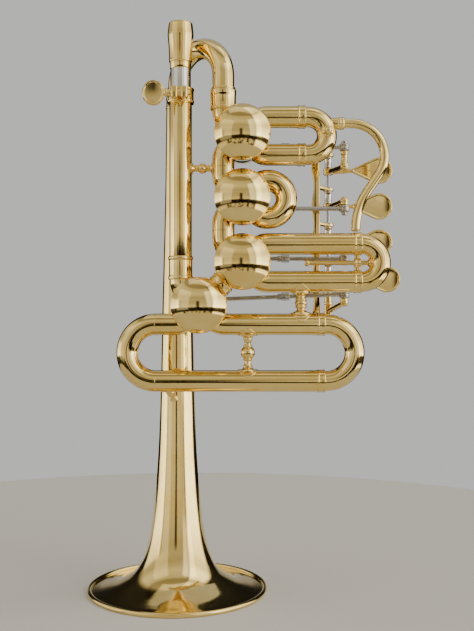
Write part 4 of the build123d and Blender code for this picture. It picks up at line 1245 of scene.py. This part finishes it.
class MakeLevers(bpy.types.Operator):
    """Four levers on one axle: hub, finger plate, link arm and the link's pin"""
    bl_idname = "trumpet.make_levers"
    bl_label = "Make levers"

    def execute(self, context):
        for number in VALVE_NUMBERS:
            bm = bmesh.new()
            self.add_hub(bm, number)
            self.add_paddle(bm, number)
            self.add_link_arm(bm, number)
            add_piece(f"lever_arm_{number}", bm, f"lever_{number}")
        self.make_axle()
        self.make_barrels()
        return {"FINISHED"}

    def add_hub(self, bm, number):
        height = LEVER_HEIGHTS[number - 1]
        bottom = -2.0 if number < 4 else (LUG_HEIGHTS[-1] + 1.3) - height / MM
        outside = [(1.9, bottom), (2.1, bottom + 0.2)]
        if number == 4:
            outside += [(2.1, -14.5), (2.45, -14.2), (2.45, -13.2), (2.1, -12.9), (2.1, -2.6)]
        outside += [
            (2.2, -1.9), (2.9, -1.5), (2.9, -0.6), (2.6, -0.3), (2.6, 0.3), (2.9, 0.6), (2.9, 1.5),
            (2.2, 1.9), (1.9, 2.0),
        ]
        place = Matrix.Translation(axle_point(height))
        lathe(bm, [(1.06, bottom)] + outside + [(1.06, 2.0)], place, closed=True)

    def add_paddle(self, bm, number):
        """Bent arm, then a finger plate narrowing into it, with a raised edge and a dished face."""
        height = LEVER_HEIGHTS[number - 1]
        centre_x = high(f"lever_{number}").x - PADDLE_RADIUS
        thickness = 1.8 * MM
        back = 7.6 * MM
        level = back - thickness / 2
        elbow = Vector((centre_x - 20 * MM, AXLE.y - 2 * MM, height))
        neck = Vector((centre_x - 13.2 * MM, level, height))
        root = axle_point(height) + (elbow - axle_point(height)).normalized() * 2.2 * MM
        straight(bm, root, elbow, 1.4 * MM, 1.3 * MM)
        ball(bm, elbow, 1.32 * MM)
        straight(bm, elbow, neck, 1.3 * MM, 0.85 * MM)
        part = plate_round_discs([
            (Vector((centre_x, level, height)), PADDLE_RADIUS),
            (Vector((centre_x - 14.4 * MM, level, height)), 1.3 * MM),
        ], -AXIS_Y, thickness, 72)
        bmesh.ops.recalc_face_normals(part, faces=part.faces[:])
        soften(part, 0.35 * MM)
        bmesh.ops.recalc_face_normals(part, faces=part.faces[:])
        front = [max(part.faces, key=lambda face: -face.normal.y * face.calc_area())]
        for width, depth in ((0.28, 0), (0.16, -0.12), (0.16, -0.08)):
            bmesh.ops.inset_region(
                part, faces=front, thickness=width * MM, depth=depth * MM, use_even_offset=True
            )
        self.dish(part, front, Vector((centre_x, 0, height)))
        join(bm, part)

    def dish(self, part, front, centre):
        """Hollows the face of the finger plate, deepest at its centre."""
        made = bmesh.ops.poke(part, faces=front)
        middle_vert = made["verts"][0]
        middle_vert.co.x = centre.x
        middle_vert.co.z = centre.z
        panel = middle_vert.co.y
        bmesh.ops.subdivide_edges(part, edges=middle_vert.link_edges[:], cuts=9)
        for vert in part.verts:
            if abs(vert.co.y - panel) < 0.001 * MM:
                away = (Vector((vert.co.x, 0, vert.co.z)) - centre).length / (PADDLE_RADIUS - 0.7 * MM)
                vert.co.y += 0.45 * MM * max(0, 1 - away ** 2)

    def add_link_arm(self, bm, number):
        """Arm to the link's upright, the turned upright and its pin."""
        height = LEVER_HEIGHTS[number - 1]
        pin = LINK_PINS[number - 1]
        arm_start = axle_point(height if number < 4 else LEVER_4_FOOT)
        foot = Vector((pin.x, pin.y, height + LINK_ARM_DROPS[number - 1] * MM))
        upward = 1 if pin.z > foot.z else -1
        along = (foot - arm_start).normalized()
        straight(bm, arm_start + along * 2.2 * MM, foot, 1.5 * MM, 1.35 * MM)
        ball(bm, foot, 2.25 * MM)
        reach = abs(pin.z - foot.z) / MM - 2.1
        profile = [(2.1, 0), (2.1, max(reach - 0.3, 0.2)), (1.8, max(reach, 0.4))]
        if reach > 4:
            profile = [
                (2.1, 0), (2.1, 1.6), (1.85, 1.9), (1.7, 2.3), (1.7, reach - 2.2), (1.85, reach - 1.8),
                (2.1, reach - 1.5), (2.1, reach - 0.3), (1.8, reach),
            ]
        place = place_along(foot, AXIS_Z * upward)
        turned(bm, profile, place)
        turned(bm, [(1.19, 0), (1.19, abs(pin.z - foot.z) / MM + 1.1)], place)

    def make_axle(self):
        bottom = LUG_HEIGHTS[-1] * MM
        top = LUG_HEIGHTS[0] * MM
        bm = bmesh.new()
        rod_bottom = axle_point(low("lever_axle").z + 0.4 * MM)
        straight(bm, rod_bottom, axle_point(high("lever_axle").z - 0.3 * MM), 0.99 * MM)
        slotted_head(bm, axle_point(top + 1.15 * MM), AXIS_Z, 2.0 * MM, 1.1 * MM, 0.5 * MM)
        slotted_head(bm, axle_point(bottom - 1.15 * MM), -AXIS_Z, 2.0 * MM, 1.1 * MM, 0.5 * MM)
        add_piece("axle_rod", bm, "lever_axle")

    def make_barrels(self):
        """Spring barrels, ringed at both ends."""
        bm = bmesh.new()
        for number, height in zip(VALVE_NUMBERS, LEVER_HEIGHTS):
            bottom = height / MM + 2.2
            top = LUG_HEIGHTS[number - 1] - 1.15
            lathe(bm, [
                (1.65, bottom), (1.95, bottom), (2.1, bottom + 0.25), (2.1, bottom + 0.7),
                (1.98, bottom + 0.95), (1.98, top - 0.95), (2.1, top - 0.7), (2.1, top - 0.25),
                (1.95, top), (1.65, top),
            ], Matrix.Translation(axle_point(0)), closed=True)
        add_piece("barrel_sleeves", bm, "spring_barrels")


class MakeRail(bpy.types.Operator):
    """The upright rail with a wavy edge, its lugs round the axle and its feet on the slides"""
    bl_idname = "trumpet.make_rail"
    bl_label = "Make lever rail"

    def execute(self, context):
        bottom = LUG_HEIGHTS[-1] - 1.5
        top = LUG_HEIGHTS[0] + 1.5
        rail_x = 78.0
        front = -3.0
        waves = 4.5
        steps = 72
        bm = bmesh.new()
        part = bmesh.new()
        outline = []
        for step in range(steps + 1):
            share = step / steps
            x = rail_x - 2.0 - 0.58 * cos(2 * pi * waves * share)
            outline.append((x, bottom + (top - bottom) * share))
        outline += [(rail_x + 2.0, top), (rail_x + 2.0, bottom)]
        corners = [part.verts.new(Vector((x, 0, z)) * MM) for x, z in outline]
        face = part.faces.new(corners)
        made = bmesh.ops.extrude_face_region(part, geom=[face])
        bmesh.ops.translate(part, vec=(0, front * MM, 0), verts=only_verts(made["geom"]))
        bmesh.ops.recalc_face_normals(part, faces=part.faces[:])
        soften(part, 0.55 * MM)
        join(bm, part)
        middle_y = front / 2
        for height in LUG_HEIGHTS:
            ends = [
                (Vector((rail_x, middle_y, height)) * MM, 1.4 * MM),
                (axle_point(height * MM), 2.3 * MM),
            ]
            rounded_plate(bm, ends, AXIS_Z, 1.8 * MM, 0.3 * MM)
            lathe(bm, [
                (1.02, -1.1), (2.6, -1.1), (3.0, -0.75), (3.0, 0.75), (2.6, 1.1), (1.02, 1.1),
            ], Matrix.Translation(axle_point(height * MM)), closed=True)
        self.add_feet(bm, Vector((rail_x, middle_y, 0)) * MM)
        add_piece("rail_bar", bm, "lever_rail")
        return {"FINISHED"}

    def add_feet(self, bm, rail):
        upper, lower = slide_legs(3)
        feet = [
            (241.5 * MM, Vector((56 * MM, SLIDE_PLANE, slide_legs(1)[1]))),
            (upper, Vector((rail.x, SLIDE_PLANE, upper))),
            (lower, Vector((rail.x, SLIDE_PLANE, lower))),
            (156.5 * MM, Vector((72.5 * MM, SLIDE_PLANE, SLIDE_4_TOP))),
        ]
        for height, leg in feet:
            start = Vector((rail.x, rail.y, height))
            along = (start - leg).normalized()
            straight(bm, leg + along * 5.7 * MM, start, 1.55 * MM)
            away = (along - AXIS_X * along.x).normalized()
            saddle_on(bm, leg + AXIS_X * 5.7 * MM * along.x, away, AXIS_X, SLIDE_RADIUS, 3.0 * MM)


class MakeLinkRods(bpy.types.Operator):
    """Steel rods from the levers to the rotors, with a slotted eye, a lock nut and a ball joint"""
    bl_idname = "trumpet.make_link_rods"
    bl_label = "Make link rods"

    def execute(self, context):
        for number in VALVE_NUMBERS:
            node = f"link_rod_{number}"
            pin = LINK_PINS[number - 1]
            centre = valve_centre(number)
            side = -1 if number < 3 else 1
            eye = Vector((centre.x - STOP_PIN_SHIFT, pin.y, centre.z + side * STOP_PIN_SHIFT))
            foot_height = LEVER_HEIGHTS[number - 1] + LINK_ARM_DROPS[number - 1] * MM
            upward = 1 if pin.z > foot_height else -1
            bm = bmesh.new()
            self.add_eye(bm, eye, side)
            start = eye + AXIS_X * 2.3 * MM
            end = Vector((pin.x - 2.3 * MM, pin.y, pin.z))
            along = (end - start).normalized()
            straight(bm, start, end, 1.18 * MM)
            nut_place = start + along * ((58 * MM - start.x) / along.x)
            turned(bm, [(1.5, -2.2), (1.75, -1.9), (1.75, -0.2), (1.3, 0)], place_along(nut_place, along))
            nut = bmesh.new()
            bmesh.ops.create_cone(
                nut, cap_ends=True, segments=6, radius1=2.3 * MM, radius2=2.3 * MM, depth=4.4 * MM,
                matrix=place_along(nut_place + along * 2.25 * MM, along),
            )
            soften(nut, 0.3 * MM)
            join(bm, nut)
            lathe(bm, [
                (1.27, -2.0), (2.2, -2.0), (2.75, -1.6), (2.9, -1.0), (2.6, -0.55), (2.6, 0.35),
                (2.9, 0.75), (2.75, 1.5), (2.2, 1.9), (1.4, 2.1), (1.55, 2.5), (1.55, 3.0), (1.3, 3.5),
                (0.9, 3.7), (0, 3.72), (0, 1.35), (1.27, 1.35),
            ], place_along(pin, AXIS_Z * upward), closed=True)
            add_piece(f"link_bar_{number}", bm, node)
        return {"FINISHED"}

    def add_eye(self, bm, eye, side):
        """A stadium-shaped loop of flat section, swept round the slot."""
        inner = 1.45 * MM
        outer = 2.7 * MM
        half = 1.1 * MM
        shift = AXIS_Z * side * 1.6 * MM
        part = bmesh.new()
        section = [
            part.verts.new(eye + AXIS_X * radius + AXIS_Y * level)
            for radius, level in ((inner, -half), (outer, -half), (outer, half), (inner, half))
        ]
        edges = part.faces.new(section).edges[:]
        bmesh.ops.delete(part, geom=part.faces[:], context="FACES_ONLY")
        geometry = section + edges
        turn = pi * side
        for centre, angle, step in (
            (eye, turn, None), (eye, 0, shift), (eye + shift, turn, None), (eye, 0, -shift),
        ):
            made = bmesh.ops.spin(
                part, geom=geometry, cent=centre, axis=AXIS_Y, dvec=step or (0, 0, 0), angle=angle,
                steps=20 if angle else 1, use_merge=False,
            )
            geometry = made["geom_last"]
        close_mesh(part)
        soften(part, 0.2 * MM)
        join(bm, part)


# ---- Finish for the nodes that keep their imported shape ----

KEPT_NODES = ["bell_rim_wire", "bearing_plates", "stop_corks", "lever_springs"]
KEPT_NODES += [f"rotor_{number}" for number in VALVE_NUMBERS]


class FinishFrame(bpy.types.Operator):
    """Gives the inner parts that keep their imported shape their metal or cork"""
    bl_idname = "trumpet.finish_frame"
    bl_label = "Finish inner parts"

    def execute(self, context):
        for node in KEPT_NODES:
            material = slot_material(SLOT_OF_NODE[node])
            kept = frame["nodes"][node]
            kept.data.materials.clear()
            kept.data.materials.append(material)
        return {"FINISHED"}


# ---- Stage ----

class MakeStage(bpy.types.Operator):
    """Floor, studio surroundings, soft lights and the camera"""
    bl_idname = "trumpet.make_stage"
    bl_label = "Make stage"

    def execute(self, context):
        stage = context.scene.trumpet_stage
        self.make_floor(stage)
        self.make_surroundings(context.scene)
        target = Vector((0.04, -0.01, 0.17))
        self.add_light("key_light", (0.75, -0.75, 0.55), target, stage.key_power, 0.8)
        self.add_light("fill_light", (-0.85, -0.6, 0.45), target, stage.fill_power, 0.9)
        self.add_light("top_light", (0.1, 0.25, 1.1), target, stage.top_power, 1.0)
        self.add_camera(stage)
        return {"FINISHED"}

    def make_floor(self, stage):
        bm = bmesh.new()
        bmesh.ops.create_circle(bm, cap_ends=True, segments=128, radius=stage.floor_radius)
        mesh = bpy.data.meshes.new("floor")
        bm.to_mesh(mesh)
        bm.free()
        floor = bpy.data.objects.new("floor", mesh)
        bpy.context.scene.collection.objects.link(floor)
        mesh.materials.append(floor_material(stage.floor_colour))

    def add_light(self, name, place, target, power, size):
        data = bpy.data.lights.new(name, "AREA")
        data.energy = power
        data.shape = "RECTANGLE"
        data.size = size
        data.size_y = size * 1.3
        light = bpy.data.objects.new(name, data)
        bpy.context.scene.collection.objects.link(light)
        light.location = place
        light.rotation_euler = (Vector(place) - target).to_track_quat("Z", "Y").to_euler()

    def add_camera(self, stage):
        data = bpy.data.cameras.new("camera")
        data.lens = stage.camera_lens
        data.sensor_width = 36
        data.dof.use_dof = False
        camera = bpy.data.objects.new("camera", data)
        bpy.context.scene.collection.objects.link(camera)
        camera.location = (stage.camera_side, -stage.camera_distance, stage.camera_height)
        camera.rotation_euler = (RIGHT_ANGLE, 0, 0)
        bpy.context.scene.camera = camera

    def mix_colours(self, tree, blend, factor, first, second):
        mixed = tree.add("ShaderNodeMix", data_type="RGBA", blend_type=blend)
        mixed.inputs["Factor"].default_value = 1
        if factor:
            tree.join(factor, mixed.inputs["Factor"])
        tree.join(first, mixed.inputs["A"])
        tree.join(second, mixed.inputs["B"])
        return mixed.outputs["Result"]

    def make_surroundings(self, scene):
        """A plain pale background; reflections see a studio with windows, a dark back and a ceiling."""
        world = bpy.data.worlds.new("studio")
        scene.world = world
        world.use_nodes = True
        tree = NodeTree(world.node_tree)
        direction = tree.add("ShaderNodeTexCoord").outputs["Generated"]
        axes = tree.add("ShaderNodeSeparateXYZ")
        tree.join(direction, axes.inputs["Vector"])
        front = tree.add("ShaderNodeMath", operation="MULTIPLY")
        tree.join(axes.outputs["Y"], front.inputs[0])
        front.inputs[1].default_value = -1
        azimuth = tree.add("ShaderNodeMath", operation="ARCTAN2")
        tree.join(axes.outputs["X"], azimuth.inputs[0])
        tree.join(front.outputs["Value"], azimuth.inputs[1])
        around = tree.spread(azimuth.outputs["Value"], 0, 1, -pi, pi)
        height = tree.spread(axes.outputs["Z"], 0, 1, -1, 1)
        eye_level = tree.ramp(around, [
            (0.0, (0.42, 0.41, 0.38)), (0.07, (0.34, 0.33, 0.31)), (0.09, (0.012, 0.011, 0.01)),
            (0.15, (0.012, 0.011, 0.01)), (0.17, (1.6, 1.58, 1.5)),
            (0.30, (2.3, 2.25, 2.1)), (0.315, (0.06, 0.045, 0.03)), (0.335, (0.55, 0.5, 0.4)),
            (0.47, (0.62, 0.56, 0.44)), (0.482, (0.015, 0.012, 0.01)), (0.497, (0.03, 0.025, 0.02)),
            (0.51, (0.7, 0.64, 0.52)), (0.61, (0.5, 0.45, 0.36)), (0.622, (0.02, 0.016, 0.012)),
            (0.64, (2.9, 2.85, 2.7)), (0.80, (2.5, 2.45, 2.3)), (0.83, (0.015, 0.013, 0.012)),
            (0.91, (0.012, 0.011, 0.01)), (0.93, (0.34, 0.33, 0.31)), (1.0, (0.42, 0.41, 0.38)),
        ])
        room = tree.ramp(around, [
            (0.0, (0.02, 0.02, 0.022)), (0.13, (0.03, 0.03, 0.03)), (0.18, (0.9, 0.87, 0.78)),
            (0.34, (0.8, 0.76, 0.64)), (0.60, (0.72, 0.68, 0.56)), (0.625, (0.12, 0.1, 0.08)),
            (0.64, (2.6, 2.55, 2.4)), (0.80, (2.2, 2.15, 2.0)), (0.84, (0.03, 0.03, 0.03)),
            (1.0, (0.02, 0.02, 0.022)),
        ])
        levels = tree.ramp(height, [
            (0.0, (0.40, 0.32, 0.20)), (0.12, (0.55, 0.47, 0.34)), (0.27, (1.1, 1.05, 0.95)),
            (0.33, (0.9, 0.85, 0.75)), (0.35, (0.02, 0.016, 0.012)), (0.44, (0.03, 0.024, 0.018)),
            (0.452, (1.5, 1.48, 1.4)), (0.53, (1.0, 1.0, 1.0)), (0.70, (0.62, 0.60, 0.56)),
            (0.80, (1.05, 1.02, 0.96)), (0.90, (0.8, 0.78, 0.72)), (0.915, (0.4, 0.38, 0.34)),
            (0.96, (0.45, 0.42, 0.37)), (1.0, (0.7, 0.66, 0.58)),
        ])
        black = (0, 0, 0)
        white = (1, 1, 1)
        near_level = tree.ramp(height, [(0.37, black), (0.40, white), (0.60, white), (0.64, black)])
        sides = self.mix_colours(tree, "MIX", near_level, room, eye_level)
        mixed = self.mix_colours(tree, "MULTIPLY", None, sides, levels)
        patches = tree.noise(direction, 5.5, 3, 0.6, 0.6)
        clutter = tree.ramp(patches, [(0.47, (0.02, 0.016, 0.012)), (0.53, white)])
        low_front = tree.ramp(height, [(0.10, black), (0.18, white), (0.44, white), (0.46, black)])
        ahead = tree.ramp(around, [(0.33, black), (0.36, white), (0.62, white), (0.64, black)])
        place = self.mix_colours(tree, "MULTIPLY", None, low_front, ahead)
        broken = self.mix_colours(tree, "MULTIPLY", None, mixed, clutter)
        reflected = self.mix_colours(tree, "MIX", place, mixed, broken)
        studio = tree.add("ShaderNodeBackground")
        studio.inputs["Strength"].default_value = 1.0
        tree.join(reflected, studio.inputs["Color"])
        plain = tree.add("ShaderNodeBackground")
        plain.inputs["Color"].default_value = (0.60, 0.595, 0.585, 1)
        plain.inputs["Strength"].default_value = 1.0
        seen = tree.add("ShaderNodeLightPath")
        choice = tree.add("ShaderNodeMixShader")
        tree.join(seen.outputs["Is Camera Ray"], choice.inputs["Fac"])
        tree.join(studio.outputs["Background"], choice.inputs[1])
        tree.join(plain.outputs["Background"], choice.inputs[2])
        output = tree.add("ShaderNodeOutputWorld")
        tree.join(choice.outputs["Shader"], output.inputs["Surface"])


# ---- Sidebar and start ----

OPERATORS = (
    MakeBell, MakeBow, MakeLeadpipe, MakeTuning, MakeValves, MakeLinks, MakeSlides, MakeCrooks, MakeBraces,
    MakeLevers, MakeRail, MakeLinkRods, FinishFrame, MakeStage,
)


class TRUMPET_PT_sidebar(bpy.types.Panel):
    """Lists the trumpet's sizes, colours and steps"""
    bl_idname = "TRUMPET_PT_sidebar"
    bl_label = "Trumpet"
    bl_space_type = "VIEW_3D"
    bl_region_type = "UI"
    bl_category = "Trumpet"

    def draw(self, context):
        for title, group in (
            ("Sizes", context.scene.trumpet_sizes), ("Finish", context.scene.trumpet_finish),
            ("Stage", context.scene.trumpet_stage),
        ):
            box = self.layout.box()
            box.label(text=title)
            for name in group.bl_rna.properties.keys():
                if name not in ("rna_type", "name"):
                    box.prop(group, name)
        for operator in OPERATORS:
            self.layout.operator(operator.bl_idname)


CLASSES = (TrumpetSizes, TrumpetFinish, TrumpetStage) + OPERATORS + (TRUMPET_PT_sidebar,)


def register():
    for item in CLASSES:
        bpy.utils.register_class(item)
    bpy.types.Scene.trumpet_sizes = PointerProperty(type=TrumpetSizes)
    bpy.types.Scene.trumpet_finish = PointerProperty(type=TrumpetFinish)
    bpy.types.Scene.trumpet_stage = PointerProperty(type=TrumpetStage)


def unregister():
    del bpy.types.Scene.trumpet_stage
    del bpy.types.Scene.trumpet_finish
    del bpy.types.Scene.trumpet_sizes
    for item in reversed(CLASSES):
        bpy.utils.unregister_class(item)


def main():
    register()
    make_materials(bpy.context.scene.trumpet_finish)
    for operator in OPERATORS:
        group, name = operator.bl_idname.split(".")
        getattr(getattr(bpy.ops, group), name)()


if __name__ == "__main__":
    main()
